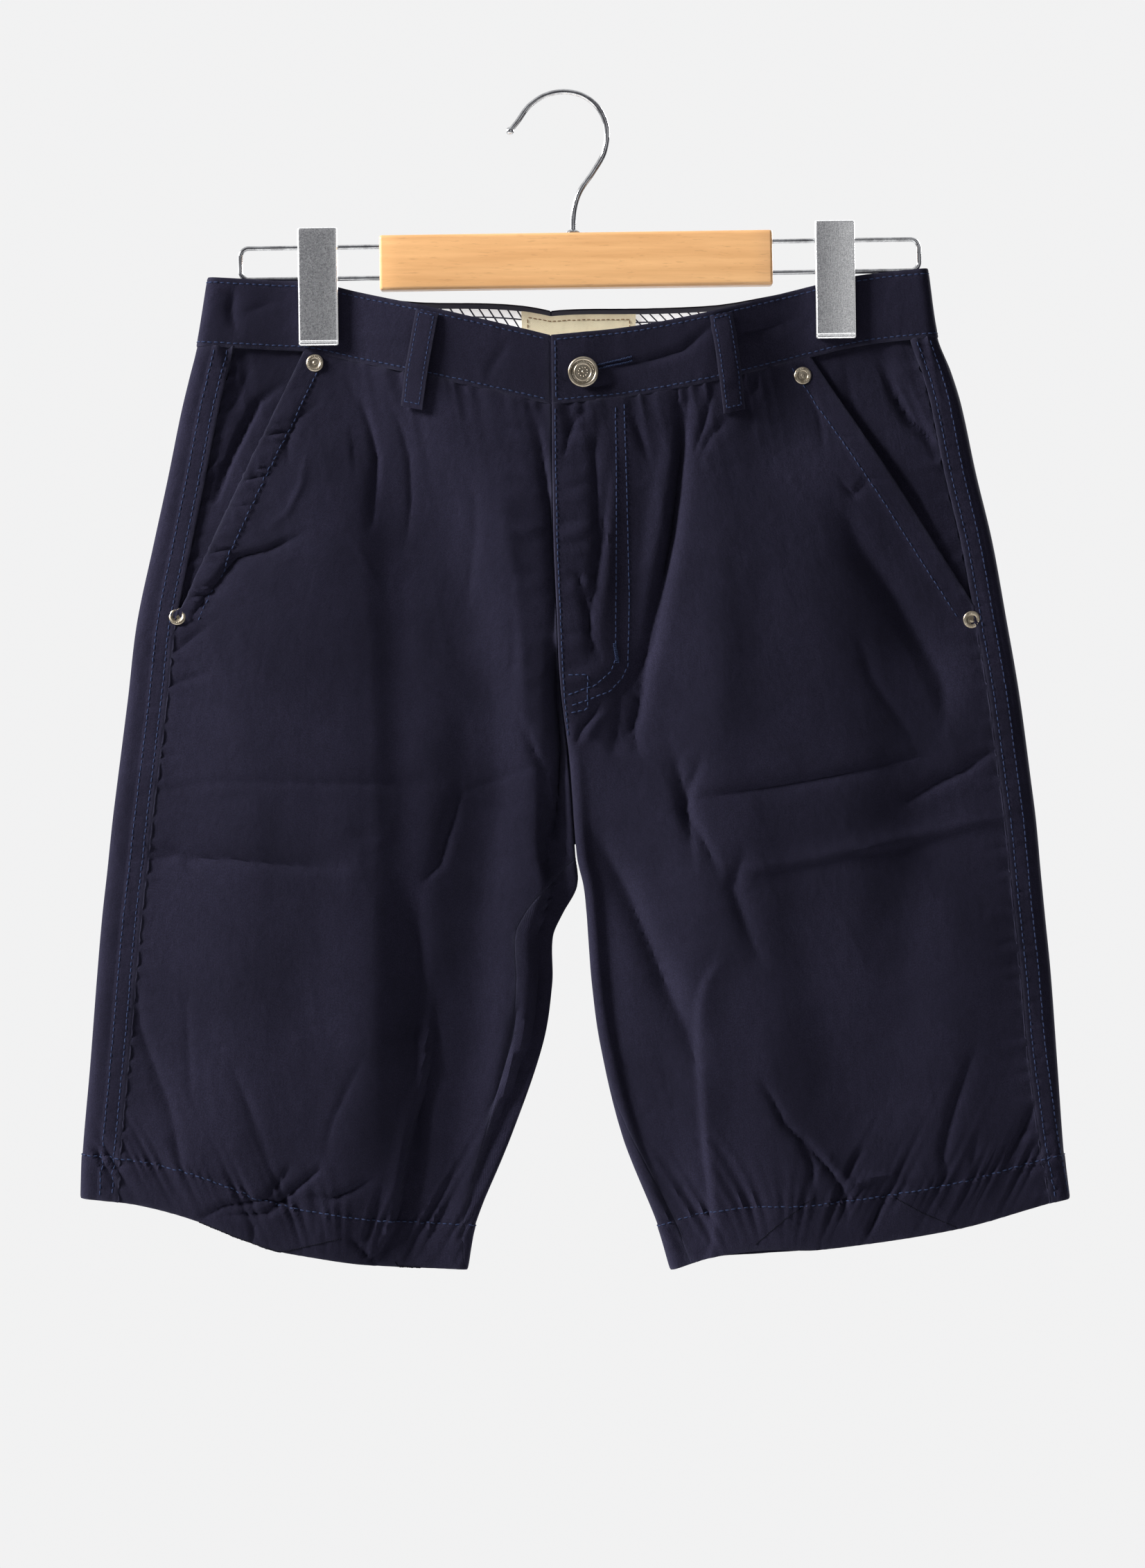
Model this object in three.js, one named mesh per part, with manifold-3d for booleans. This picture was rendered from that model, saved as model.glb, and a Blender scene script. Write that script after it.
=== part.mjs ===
// Cotton bermuda shorts clipped to a trouser hanger: wood bar, wire frame, two sprung clips, wire hook.
// Millimetres. +X is the wearer's left, +Y the wearer's back, +Z up. Left and right are the wearer's.
// The origin is the inside of the hook's crown, where a rail carries the hanger.
// The cloth is a flattened tube for each leg. A row of the cloth is named by its drop below the waist
// seam, and a place in a row by the distance round the tube from the fold at the garment's side.
import * as THREE from "three";
import Module from "manifold-3d";
import { mergeVertices } from "three/addons/utils/BufferGeometryUtils.js";

const wasm = await Module();
wasm.setup();

// Driving sizes of the garment
const CLOTH = 1.2;
const BAND_CLOTH = 2.4;
const LINING = 1.0;
const SEAM_GAP = 0.3;
const CENTRE_GAP = 0.5;
const LAYER_GAP = 0.8;
const HEM_GAP = 1;
const BAND_HEIGHT = 41;
const LEG_DROP = 508;
const CROTCH_DROP = 265;
const HEM_HEIGHT = 26;
const FOLD_RADIUS = 6;
const EDGE_DEPTH = 6.5;
const POCKET_DROP = 156;
const POCKET_UNDERLAP = 14;
const FLY_DROP = 195;
const FLY_WIDTH = 38;
const FLY_LIFT = 1.4;
const FELLED_WIDTH = 12;
const FELLED_LIFT = 0.7;
const HEM_LIFT = 0.5;
const LOOP_WIDTH = 12.5;
const LOOP_CLOTH = 1.4;
const LOOP_ARCH = 2.2;
const RIVET_RADIUS = 5.25;
const BUTTON_RADIUS = 9;

// Driving sizes of the hanger
const HANGER_TILT = 0.8;
const HOOK_WIRE = 3.2;
const RAIL_WIRE = 2.8;
const BAR = { x: 5.8, z: -98.6, length: 232, height: 32.5, thickness: 14, chamfer: 0.9 };
const RAIL = { top: -88.6, bottom: -107.1, left: -192.7, right: 208.6, corner: 5 };
const CLIP = { width: 23.4, length: 69.7, above: 29.5, web: 1, depth: 8.6, grip: 4.1, jaw: 2.6 };
const CLIP_X = { right: -146.7, left: 158.6 };
const CLIP_REACH = { flat: 15, free: 78, drop: 95 };
const CLIP_HALF = SEAM_GAP + LINING + SEAM_GAP + BAND_CLOTH / 2;

// The garment's outline: where each leg's two folds lie at a drop below the waist seam.
const OUTLINE = [
  { drop: -41, rightOut: -209.7, rightIn: -7.8, leftIn: -7.8, leftOut: 214.3 },
  { drop: 0, rightOut: -216.4, rightIn: -7.3, leftIn: -7.3, leftOut: 220.5 },
  { drop: 20, rightOut: -221.3, rightIn: -7.2, leftIn: -7.2, leftOut: 228.4 },
  { drop: 40, rightOut: -226, rightIn: -7, leftIn: -7, leftOut: 234.6 },
  { drop: 80, rightOut: -234, rightIn: -6.2, leftIn: -6.2, leftOut: 243.2 },
  { drop: 120, rightOut: -242.6, rightIn: -4.5, leftIn: -4.5, leftOut: 252.8 },
  { drop: 165, rightOut: -252, rightIn: -2.3, leftIn: -2.3, leftOut: 261 },
  { drop: 210, rightOut: -257.3, rightIn: 3, leftIn: 3, leftOut: 268.8 },
  { drop: 265, rightOut: -264.2, rightIn: 7.3, leftIn: 7.3, leftOut: 276.2 },
  { drop: 282, rightOut: -266.3, rightIn: 8.2, leftIn: 11.2, leftOut: 278.4 },
  { drop: 298, rightOut: -268, rightIn: 0, leftIn: 13, leftOut: 280 },
  { drop: 312, rightOut: -269.4, rightIn: -6, leftIn: 14, leftOut: 281.2 },
  { drop: 340, rightOut: -272.5, rightIn: -6.4, leftIn: 16.2, leftOut: 283.9 },
  { drop: 375, rightOut: -275.5, rightIn: -12, leftIn: 21, leftOut: 287.4 },
  { drop: 430, rightOut: -279.7, rightIn: -31, leftIn: 34.5, leftOut: 291.4 },
  { drop: 480, rightOut: -284, rightIn: -51.5, leftIn: 54.5, leftOut: 295 },
  { drop: 508, rightOut: -285, rightIn: -57, leftIn: 63, leftOut: 298.3 },
];

// Heights of the front's waist seam and hem across a half: 0 at the side fold, 1 at the inner fold.
const LEVELS = {
  right: {
    seam: [[0, -149.7], [0.19, -151.5], [0.32, -153], [0.44, -158.5], [0.6, -166], [0.93, -181.5], [1, -185]],
    hem: [[0, -652.7], [0.15, -656.5], [0.29, -664.5], [0.48, -681], [0.63, -687.8], [0.76, -692], [1, -695]],
  },
  left: {
    seam: [[0, -144.3], [0.19, -148.8], [0.31, -155], [0.43, -162], [0.57, -170.5], [0.79, -180], [1, -185]],
    hem: [[0, -652.9], [0.05, -655.5], [0.28, -670], [0.63, -682.2], [0.76, -682.6], [0.89, -686.7], [1, -695]],
  },
};
// The back's waist stands higher at the centre than the front's, and its hem hangs a little lower.
const BACK = {
  right: { rise: 17, riseFrom: 0.45, hemDrop: 1.6, hemAt: 0.2 },
  left: { rise: 17, riseFrom: 0.3, hemDrop: 5.6, hemAt: 0.8 },
};
const BACK_RISE_DROP = 220;
const BACK_HEM_DROP = 400;

// How far the cloth's two faces stand from the middle plane, away from its folds.
const DEPTHS = [
  { drop: -41, front: 15.5, back: 10 },
  { drop: 0, front: 14.5, back: 11 },
  { drop: 80, front: 15, back: 13 },
  { drop: 180, front: 16, back: 14 },
  { drop: 265, front: 15.5, back: 14 },
  { drop: 400, front: 14.5, back: 13 },
  { drop: 508, front: 13.5, back: 12 },
];
const LENS_SHARE = 0.42;
const SEAT_GROOVE = { from: 150, to: 262 };

// Side seams lie on the front, this far in from the side fold; inseams this far out from the inner fold.
const SIDE_SEAM = {
  right: [[-41, 21.5], [0, 21.5], [260, 24], [508, 22.5]],
  left: [[-41, 15.5], [0, 16], [60, 18.2], [400, 18], [450, 15.5], [508, 11.5]],
};
const INSEAM = {
  right: [[265, 0], [282, 15], [300, 21], [340, 21], [430, 15], [480, 7], [508, 3]],
  left: [[265, 0], [380, 0.5], [430, 5], [480, 9.5], [508, 11.5]],
};
// The hollow the front's inner edge falls into along the inseam.
const INSEAM_HOLLOW = {
  right: [[195, 0], [265, 3], [300, 7.5], [400, 6.5], [450, 3.5], [485, 1], [508, 0.5]],
  left: [[265, 0], [380, 0.5], [430, 1.5], [485, 1], [508, 0.5]],
};
const HOLLOW_HALF_WIDTH = 7;

// Each hip pocket's slanting edge, from the waist seam to the side seam.
const POCKET_EDGE = { right: { top: -154, bottom: -226 }, left: { top: 146, bottom: 242 } };

// The largest folds. x0, z0 to x1, z1 is the crest, bow its sideways bend, height is outwards.
// near is the half-width on the crest's left and far on its right, going from the first point.
const FRONT_FOLDS = [
  { x0: -100, z0: -190, x1: -92, z1: -560, bow: -8, height: -4.5, near: 24, far: 26 },
  { x0: -78, z0: -520, x1: -112, z1: -700, bow: 3, height: -3.5, near: 12, far: 20 },
  { x0: -175, z0: -200, x1: -190, z1: -640, bow: -6, height: 3, near: 34, far: 34 },
  { x0: -40, z0: -200, x1: -34, z1: -520, bow: 4, height: 2.6, near: 20, far: 22 },
  { x0: 62, z0: -170, x1: 40, z1: -392, bow: -7, height: -4, near: 9, far: 16 },
  { x0: 84, z0: -200, x1: 88, z1: -420, bow: 3, height: 2.8, near: 16, far: 28 },
  { x0: 78, z0: -500, x1: 92, z1: -700, bow: -3, height: 3, near: 14, far: 26 },
  { x0: 60, z0: -520, x1: 76, z1: -690, bow: -2, height: -2.4, near: 14, far: 13 },
  { x0: 118, z0: -400, x1: 165, z1: -640, bow: 6, height: -3.4, near: 26, far: 22 },
  { x0: 215, z0: -330, x1: 232, z1: -640, bow: 4, height: 2.4, near: 30, far: 24 },
  { x0: -244, z0: -452, x1: -128, z1: -458, bow: 0, height: -1.6, near: 10, far: 16 },
  { x0: 108, z0: -461, x1: 262, z1: -424, bow: 4, height: -1.8, near: 14, far: 10 },
];
const BACK_FOLDS = [
  { x0: -120, z0: -200, x1: -104, z1: -600, bow: 6, height: -3.6, near: 26, far: 24 },
  { x0: -190, z0: -230, x1: -206, z1: -620, bow: -5, height: 2.6, near: 30, far: 34 },
  { x0: -30, z0: -330, x1: -120, z1: -520, bow: -8, height: -3, near: 20, far: 16 },
  { x0: 112, z0: -210, x1: 126, z1: -610, bow: -7, height: -3.4, near: 24, far: 28 },
  { x0: 196, z0: -240, x1: 216, z1: -600, bow: 5, height: 2.4, near: 32, far: 30 },
  { x0: 34, z0: -340, x1: 118, z1: -500, bow: 8, height: -2.8, near: 16, far: 20 },
];

const SIDES = ["left", "right"];

function clamp(v, low, high) {
  return Math.min(high, Math.max(low, v));
}

function smoothstep(low, high, v) {
  const s = clamp((v - low) / (high - low), 0, 1);
  return s * s * (3 - 2 * s);
}

function mix(a, b, share) {
  return a + (b - a) * share;
}

// A smooth curve through [place, value] rows, flat past its two ends.
function through(rows, place) {
  const last = rows.length - 1;
  const at = clamp(place, rows[0][0], rows[last][0]);
  let i = 0;
  while (i < last - 1 && at > rows[i + 1][0]) i += 1;
  const slope = (k) => {
    const a = rows[Math.max(0, k - 1)];
    const b = rows[Math.min(last, k + 1)];
    return (b[1] - a[1]) / (b[0] - a[0]);
  };
  const [p, q] = [rows[i], rows[i + 1]];
  const step = q[0] - p[0];
  const s = (at - p[0]) / step;
  const hold = 2 * s ** 3 - 3 * s ** 2 + 1;
  const leave = (s ** 3 - 2 * s ** 2 + s) * step * slope(i);
  const arrive = (s ** 3 - s ** 2) * step * slope(i + 1);
  return p[1] * hold + leave + q[1] * (1 - hold) + arrive;
}

function column(table, name) {
  return table.map((row) => [row.drop, row[name]]);
}

const OUTLINE_CURVES = Object.fromEntries(
  ["rightOut", "rightIn", "leftIn", "leftOut"].map((name) => [name, column(OUTLINE, name)]),
);
const DEPTH_CURVES = { front: column(DEPTHS, "front"), back: column(DEPTHS, "back") };

// 1 where front and back panels run on past the centre, 0 where each leg closes round on itself.
function openness(drop) {
  return 1 - smoothstep(SEAT_GROOVE.from, SEAT_GROOVE.to, drop);
}

// The arc of the quarter ellipse that each fold makes.
const FOLD_ARC = (Math.PI / 4) * (FOLD_RADIUS + EDGE_DEPTH);

function rowSizes(side, drop) {
  const open = openness(drop);
  const centreGap = (CENTRE_GAP + CLOTH * Math.sqrt(1 - open)) / 2;
  const out = through(OUTLINE_CURVES[side + "Out"], drop);
  const sign = side === "left" ? 1 : -1;
  const inner = through(OUTLINE_CURVES[side + "In"], drop) + sign * centreGap;
  const innerArc = mix(FOLD_ARC, FOLD_RADIUS, open);
  const span = Math.abs(out - inner);
  return { open, out, inner, span, innerArc, total: span - 2 * FOLD_RADIUS + FOLD_ARC + innerArc };
}

// Distance round a row from its side fold to a plateau place that lies inset mm in from it.
function roundTo(inset) {
  return FOLD_ARC - FOLD_RADIUS + inset;
}

function foldHeight(folds, x, z) {
  let sum = 0;
  for (const f of folds) {
    const length = Math.hypot(f.x1 - f.x0, f.z1 - f.z0);
    const [ux, uz] = [(f.x1 - f.x0) / length, (f.z1 - f.z0) / length];
    const share = ((x - f.x0) * ux + (z - f.z0) * uz) / length;
    if (share <= 0 || share >= 1) continue;
    const hump = 4 * share * (1 - share);
    const off = (z - f.z0) * ux - (x - f.x0) * uz - f.bow * hump;
    const width = off > 0 ? f.near : f.far;
    sum += f.height * Math.exp(-((off / width) ** 2)) * hump ** 0.6;
  }
  return sum;
}

function pinch(x, drop) {
  const reach = 1 - smoothstep(0, CLIP_REACH.drop, drop);
  const near = Math.min(...Object.values(CLIP_X).map((at) => Math.abs(x - at)));
  return reach * (1 - smoothstep(CLIP_REACH.flat, CLIP_REACH.free, near));
}

function level(side, face, across, drop) {
  const { seam, hem } = LEVELS[side];
  const fall = drop / LEG_DROP;
  if (drop <= 0) {
    return through(seam, across) - drop + backRise(side, face, across, drop);
  }
  return mix(through(seam, across), through(hem, across), fall) + backRise(side, face, across, drop);
}

function backRise(side, face, across, drop) {
  if (face < 0) return 0;
  const { rise, riseFrom, hemDrop, hemAt } = BACK[side];
  const waist = rise * smoothstep(riseFrom, 1, across) * (1 - smoothstep(0, BACK_RISE_DROP, drop));
  const hump = Math.exp(-(((across - hemAt) / 0.16) ** 2)) * across * (1 - across) * 4;
  return waist - hemDrop * hump * smoothstep(BACK_HEM_DROP, LEG_DROP, drop);
}

// A point of the cloth's middle surface. face is -1 on the front and 1 on the back, round is the
// distance from the side fold. Each fold is a quarter ellipse; between them the face is a plateau
// that swells to the row's depth, is pinched under the clips, and carries the folds.
function facePoint(side, face, round, drop) {
  const { open, out, inner, span, innerArc, total } = rowSizes(side, drop);
  const left = total - round;
  let [dOut, fOut] = [FOLD_RADIUS + round - FOLD_ARC, 1];
  if (round < FOLD_ARC) {
    const turn = ((Math.PI / 2) * round) / FOLD_ARC;
    [dOut, fOut] = [FOLD_RADIUS * (1 - Math.cos(turn)), Math.sin(turn)];
  }
  let [dIn, fIn] = [FOLD_RADIUS + left - innerArc, 1];
  if (left < innerArc) {
    const turn = ((Math.PI / 2) * left) / innerArc;
    dIn = FOLD_RADIUS * mix(1 - Math.cos(turn), left / innerArc, open);
    fIn = mix(Math.sin(turn), 1, open);
  }
  const across = round < total / 2 ? dOut / span : 1 - dIn / span;
  const x = mix(out, inner, across);
  const z = level(side, face, across, drop);
  const inside = mix(smoothstep(0, LENS_SHARE, 1 - across), 1, open);
  const lens = smoothstep(0, LENS_SHARE, across) * inside;
  const full = through(DEPTH_CURVES[face < 0 ? "front" : "back"], drop);
  const held = pinch(x, drop);
  let depth = EDGE_DEPTH * fOut * fIn + (full - EDGE_DEPTH) * lens;
  depth = mix(depth, CLIP_HALF, held);
  const foldShare = fOut * fIn * (1 - held) * smoothstep(0, 45, drop);
  depth += foldShare * foldHeight(face < 0 ? FRONT_FOLDS : BACK_FOLDS, x, z);
  if (face < 0) {
    const away = FOLD_RADIUS + left - innerArc - Math.max(through(INSEAM[side], drop), 4);
    depth -= through(INSEAM_HOLLOW[side], drop) * Math.exp(-((away / HOLLOW_HALF_WIDTH) ** 2)) * fIn;
  }
  return new THREE.Vector3(x, face * depth, z);
}

// round counts from the side fold: negative on the front, positive on the back, and past the inner
// fold it comes round to the front again.
function clothPoint(side, round, drop) {
  const { total } = rowSizes(side, drop);
  if (round < 0) return facePoint(side, -1, -round, drop);
  if (round <= total) return facePoint(side, 1, round, drop);
  return facePoint(side, -1, 2 * total - round, drop);
}

// The cloth's outward direction. At the inner fold it is taken from one face alone.
function outward(side, round, drop) {
  const step = 0.4;
  const { total } = rowSizes(side, drop);
  const face = round > 0 && round <= total ? 1 : -1;
  const along = round > total ? 2 * total - round : Math.abs(round);
  const at = (r, d) => facePoint(side, r < 0 ? -face : face, Math.min(Math.abs(r), rowSizes(side, d).total), d);
  const across = at(along + step, drop).sub(at(along - step, drop));
  const down = at(along, drop + step).sub(at(along, drop - step));
  const normal = across.cross(down).normalize();
  return normal.multiplyScalar(side === "right" ? face : -face);
}

function offsetPoint(side, round, drop, offset) {
  return clothPoint(side, round, drop).addScaledVector(outward(side, round, drop), offset);
}

// A closed wall from a grid of outer points and a grid of inner points, rows by columns.
// ring joins the last column to the first, and flip turns the faces when the grid is left-handed.
function wall(outer, inner, { ring = false, flip = false } = {}) {
  const rows = outer.length;
  const columns = outer[0].length;
  const points = [...outer.flat(), ...inner.flat()];
  const faces = [];
  const at = (layer, r, c) => layer * rows * columns + r * columns + (c % columns);
  const quad = (a, b, c, d) => {
    faces.push(...(flip ? [a, c, b, a, d, c] : [a, b, c, a, c, d]));
  };
  const spans = ring ? columns : columns - 1;
  for (let r = 0; r < rows - 1; r += 1) {
    for (let c = 0; c < spans; c += 1) {
      quad(at(0, r, c), at(0, r, c + 1), at(0, r + 1, c + 1), at(0, r + 1, c));
      quad(at(1, r, c), at(1, r + 1, c), at(1, r + 1, c + 1), at(1, r, c + 1));
    }
  }
  for (let c = 0; c < spans; c += 1) {
    quad(at(0, 0, c), at(1, 0, c), at(1, 0, c + 1), at(0, 0, c + 1));
    quad(at(0, rows - 1, c), at(0, rows - 1, c + 1), at(1, rows - 1, c + 1), at(1, rows - 1, c));
  }
  for (let r = 0; !ring && r < rows - 1; r += 1) {
    quad(at(0, r, 0), at(0, r + 1, 0), at(1, r + 1, 0), at(1, r, 0));
    quad(at(0, r, columns - 1), at(1, r, columns - 1), at(1, r + 1, columns - 1), at(0, r + 1, columns - 1));
  }
  const geometry = new THREE.BufferGeometry();
  const flat = points.flatMap((p) => [p.x, p.y, p.z]);
  geometry.setAttribute("position", new THREE.Float32BufferAttribute(flat, 3));
  geometry.setIndex(faces);
  geometry.computeVertexNormals();
  return geometry;
}

// Places along a row: each break is a distance, and each count the steps to the next break.
function placesBetween(breaks, counts) {
  const places = [breaks[0]];
  counts.forEach((count, i) => {
    for (let k = 1; k <= count; k += 1) places.push(mix(breaks[i], breaks[i + 1], k / count));
  });
  return places;
}

// A piece of cloth on one side: drops lists its rows, placesAt gives a row's places, thick its
// thickness, offset how far it lies out from the middle surface, and lift what its outer face adds.
function clothPiece(side, drops, placesAt, { thick = CLOTH, offset = 0, lift = () => 0, ring = false }) {
  const grid = (layer) =>
    drops.map((drop) =>
      placesAt(drop).map((round) => {
        const out = layer > 0 ? thick / 2 + lift(round, drop) : -thick / 2;
        return offsetPoint(side, round, drop, offset + out);
      }),
    );
  return wall(grid(1), grid(-1), { ring, flip: side === "left" });
}

const SEAM_HALF = SEAM_GAP / 2;
const PANEL_DROPS = [
  0.4, 16, 34, 56, 80, 106, 132, POCKET_DROP, 182, 208, 232, 250, 262,
  270, 284, 298, 314, 338, 366, 396, 426, 454, 474, 482.5, 495, LEG_DROP,
];

function sideSeam(side, drop) {
  return roundTo(through(SIDE_SEAM[side], drop));
}

// How far the inseam lies round from the inner fold, on the front.
function inseam(side, drop) {
  if (drop <= CROTCH_DROP) return 0;
  const inset = through(INSEAM[side], drop);
  return inset <= FOLD_RADIUS ? (inset / FOLD_RADIUS) * FOLD_ARC : FOLD_ARC - FOLD_RADIUS + inset;
}

function pocketRound(side, drop) {
  const { top, bottom } = POCKET_EDGE[side];
  const x = mix(top, bottom, drop / POCKET_DROP);
  return roundTo(Math.abs(rowSizes(side, drop).out - x));
}

function hemLift(drop) {
  return HEM_LIFT * smoothstep(LEG_DROP - HEM_HEIGHT - 1, LEG_DROP - HEM_HEIGHT, drop);
}

function frontPanel(side) {
  const places = (drop) => {
    const { total } = rowSizes(side, drop);
    const seam = sideSeam(side, drop) + SEAM_HALF;
    const outer = drop < POCKET_DROP ? Math.max(pocketRound(side, drop), seam) : seam;
    const start = inseam(side, drop) + SEAM_HALF - total;
    return placesBetween([start, start + FOLD_ARC, 46 - total, -outer], [3, 4, 14]);
  };
  const lift = (round, drop) => {
    if (side === "right") return hemLift(drop);
    const fromFly = rowSizes(side, drop).total + round;
    const fly = 1 - smoothstep(FLY_WIDTH * 0.5, FLY_WIDTH, fromFly);
    return hemLift(drop) + FLY_LIFT * fly * (1 - smoothstep(FLY_DROP - 30, FLY_DROP, drop));
  };
  return clothPiece(side, PANEL_DROPS, places, { lift });
}

// The back panel comes round the side fold to the side seam, with a felled seam along its edge,
// and below the crotch round the inner fold to the inseam.
function backPanel(side) {
  const places = (drop) => {
    const { total, innerArc } = rowSizes(side, drop);
    const start = SEAM_HALF - sideSeam(side, drop);
    const end = total + inseam(side, drop) - SEAM_HALF;
    const breaks = [start, start + FELLED_WIDTH, 0, FOLD_ARC, total - innerArc, end];
    return placesBetween(breaks, [2, 3, 3, 13, 7]);
  };
  const lift = (round, drop) => {
    const fromSeam = round + sideSeam(side, drop);
    return Math.max(hemLift(drop), FELLED_LIFT * (fromSeam < FELLED_WIDTH + 1 ? 1 : 0));
  };
  return clothPiece(side, PANEL_DROPS, places, { lift });
}

// The hip piece behind the slanting pocket edge, one cloth deeper than the front panel.
function pocketFacing(side) {
  const drops = PANEL_DROPS.filter((drop) => drop <= POCKET_DROP);
  const places = (drop) => {
    const seam = sideSeam(side, drop) + SEAM_HALF;
    return placesBetween([-pocketRound(side, drop) - POCKET_UNDERLAP, -seam], [8]);
  };
  return clothPiece(side, drops, places, { offset: -CLOTH - LAYER_GAP });
}

const BAND_DROPS = [-BAND_HEIGHT, -BAND_HEIGHT / 2, -SEAM_HALF];

function bandPlaces(side, drop) {
  const { total } = rowSizes(side, drop);
  const breaks = [-total, 46 - total, -FOLD_ARC, 0, FOLD_ARC, total - 46, total];
  return placesBetween(breaks, [5, 15, 3, 3, 15, 5]);
}

function waistband(side) {
  const lift = (round, drop) => {
    if (side === "right") return 0;
    return FLY_LIFT * (1 - smoothstep(FLY_WIDTH * 0.5, FLY_WIDTH, rowSizes(side, drop).total + round));
  };
  return clothPiece(side, BAND_DROPS, (drop) => bandPlaces(side, drop), { thick: BAND_CLOTH, lift });
}

const LINING_OFFSET = -(BAND_CLOTH / 2 + SEAM_GAP + LINING / 2);

function waistbandLining(side) {
  const drops = [-BAND_HEIGHT + 1, -BAND_HEIGHT / 2, -1];
  return clothPiece(side, drops, (drop) => bandPlaces(side, drop), { thick: LINING, offset: LINING_OFFSET });
}

// The turned-up hem inside each leg opening, a closed ring.
function hemFacing(side) {
  const drops = [LEG_DROP - HEM_HEIGHT, LEG_DROP - HEM_HEIGHT / 2, LEG_DROP - 0.8];
  const places = (drop) => {
    const { total } = rowSizes(side, drop);
    const breaks = [-total + FOLD_ARC, -FOLD_ARC, 0, FOLD_ARC, total - FOLD_ARC, total, total + FOLD_ARC];
    return placesBetween(breaks, [19, 3, 3, 19, 3, 3]).slice(0, -1);
  };
  const offset = -(CLOTH / 2 + HEM_GAP + LINING / 2);
  return clothPiece(side, drops, places, { thick: LINING, offset, ring: true });
}

// The place in a row whose x is given, on the front (-1) or the back (1).
function roundAt(side, face, x, drop) {
  const { out, span } = rowSizes(side, drop);
  return face * roundTo(clamp(Math.abs(out - x), FOLD_RADIUS, span));
}

// A point over the cloth at a given x, whichever half it falls on.
function pointAt(face, x, drop, offset) {
  const side = x < through(OUTLINE_CURVES.rightIn, drop) ? "right" : "left";
  return offsetPoint(side, roundAt(side, face, x, drop), drop, offset);
}

// A belt loop: a strip down the waistband, sewn at both ends and arched between them.
const LOOP = { top: -39, bottom: 13 };

function beltLoop(face, xTop, xBottom) {
  const rows = 8;
  const outer = [];
  const inner = [];
  for (let r = 0; r <= rows; r += 1) {
    const share = r / rows;
    const drop = mix(LOOP.top, LOOP.bottom, share);
    const under = mix(BAND_CLOTH / 2, CLOTH / 2, smoothstep(1, 7, drop)) + LAYER_GAP;
    const base = under + LOOP_ARCH * Math.sin(Math.PI * share) ** 0.7;
    const x = mix(xTop, xBottom, share);
    const edges = [x - LOOP_WIDTH / 2, x, x + LOOP_WIDTH / 2];
    const row = (offset) => edges.map((e) => pointAt(face, e, drop, offset));
    outer.push(row(base + LOOP_CLOTH));
    inner.push(row(base));
  }
  return wall(outer, inner, { flip: face < 0 });
}

const LABEL = { left: 42.5, right: -25, top: -37.5, bottom: -7, thick: 0.8 };

function label() {
  const columns = placesBetween([LABEL.right, OUTLINE[0].rightIn, LABEL.left], [3, 5]);
  const base = LINING_OFFSET - LINING / 2 - CENTRE_GAP;
  const grid = (offset) =>
    placesBetween([LABEL.top, LABEL.bottom], [3]).map((drop) =>
      columns.map((x) => pointAt(1, x, drop, offset)),
    );
  return wall(grid(base), grid(base - LABEL.thick), { flip: false });
}

// A round metal piece turned about the cloth's outward direction. It stands on the highest place of
// the cloth under its foot; over is how far the cloth's outer face lies from the middle surface.
function stud(side, x, drop, profile, over) {
  const round = roundAt(side, -1, x, drop);
  const geometry = new THREE.LatheGeometry(profile.map(([r, h]) => new THREE.Vector2(r, h)), 20);
  const mesh = new THREE.Mesh(geometry);
  const foot = profile[1][0];
  const reach = (dr, dd) => offsetPoint(side, round + dr * foot, drop + dd * foot, over);
  const across = reach(1, 0).sub(reach(-1, 0));
  const down = reach(0, 1).sub(reach(0, -1));
  const normal = across.cross(down).normalize().multiplyScalar(side === "right" ? 1 : -1);
  const centre = reach(0, 0);
  const rim = [[1, 0], [-1, 0], [0, 1], [0, -1], [0.7, 0.7], [0.7, -0.7], [-0.7, 0.7], [-0.7, -0.7]];
  const highest = Math.max(0, ...rim.map(([dr, dd]) => reach(dr, dd).sub(centre).dot(normal)));
  mesh.quaternion.setFromUnitVectors(new THREE.Vector3(0, 1, 0), normal);
  mesh.position.copy(centre).addScaledVector(normal, highest + LAYER_GAP);
  return mesh;
}

const RIVET_PROFILE = [
  [0, 0], [RIVET_RADIUS, 0], [RIVET_RADIUS, 0.8], [RIVET_RADIUS - 0.6, 1.3],
  [RIVET_RADIUS - 1.3, 1.1], [1.6, 1.5], [0, 1.6],
];
const BUTTON_PROFILE = [
  [0, 0], [3.2, 0], [3.2, 1.6], [BUTTON_RADIUS - 0.6, 1.9], [BUTTON_RADIUS, 2.6],
  [BUTTON_RADIUS - 0.5, 3.5], [BUTTON_RADIUS - 1.6, 3.3], [3, 3.7], [0, 3.8],
];

function material(colour, roughness, metalness) {
  return new THREE.MeshStandardMaterial({ color: colour, roughness, metalness });
}

const NAVY = material(0x191b2e, 0.9, 0);
const STRIPED = material(0xeceef2, 0.85, 0);
const CREAM = material(0xd8ccab, 0.85, 0);
const NICKEL = material(0xb3ab98, 0.35, 1);
const CHROME = material(0xc8c9cb, 0.15, 1);
const BEECH = material(0xd69b58, 0.45, 0);

function named(name, shape, finish) {
  const mesh = shape.isMesh ? shape : new THREE.Mesh(shape);
  mesh.name = name;
  mesh.material = finish;
  return mesh;
}

function asSolid(geometry) {
  const bare = geometry.clone();
  bare.deleteAttribute("normal");
  bare.deleteAttribute("uv");
  const merged = mergeVertices(bare, 1e-4);
  const vertProperties = new Float32Array(merged.attributes.position.array);
  const triVerts = merged.index ? new Uint32Array(merged.index.array) : undefined;
  return new wasm.Manifold(new wasm.Mesh({ numProp: 3, vertProperties, triVerts }));
}

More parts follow.
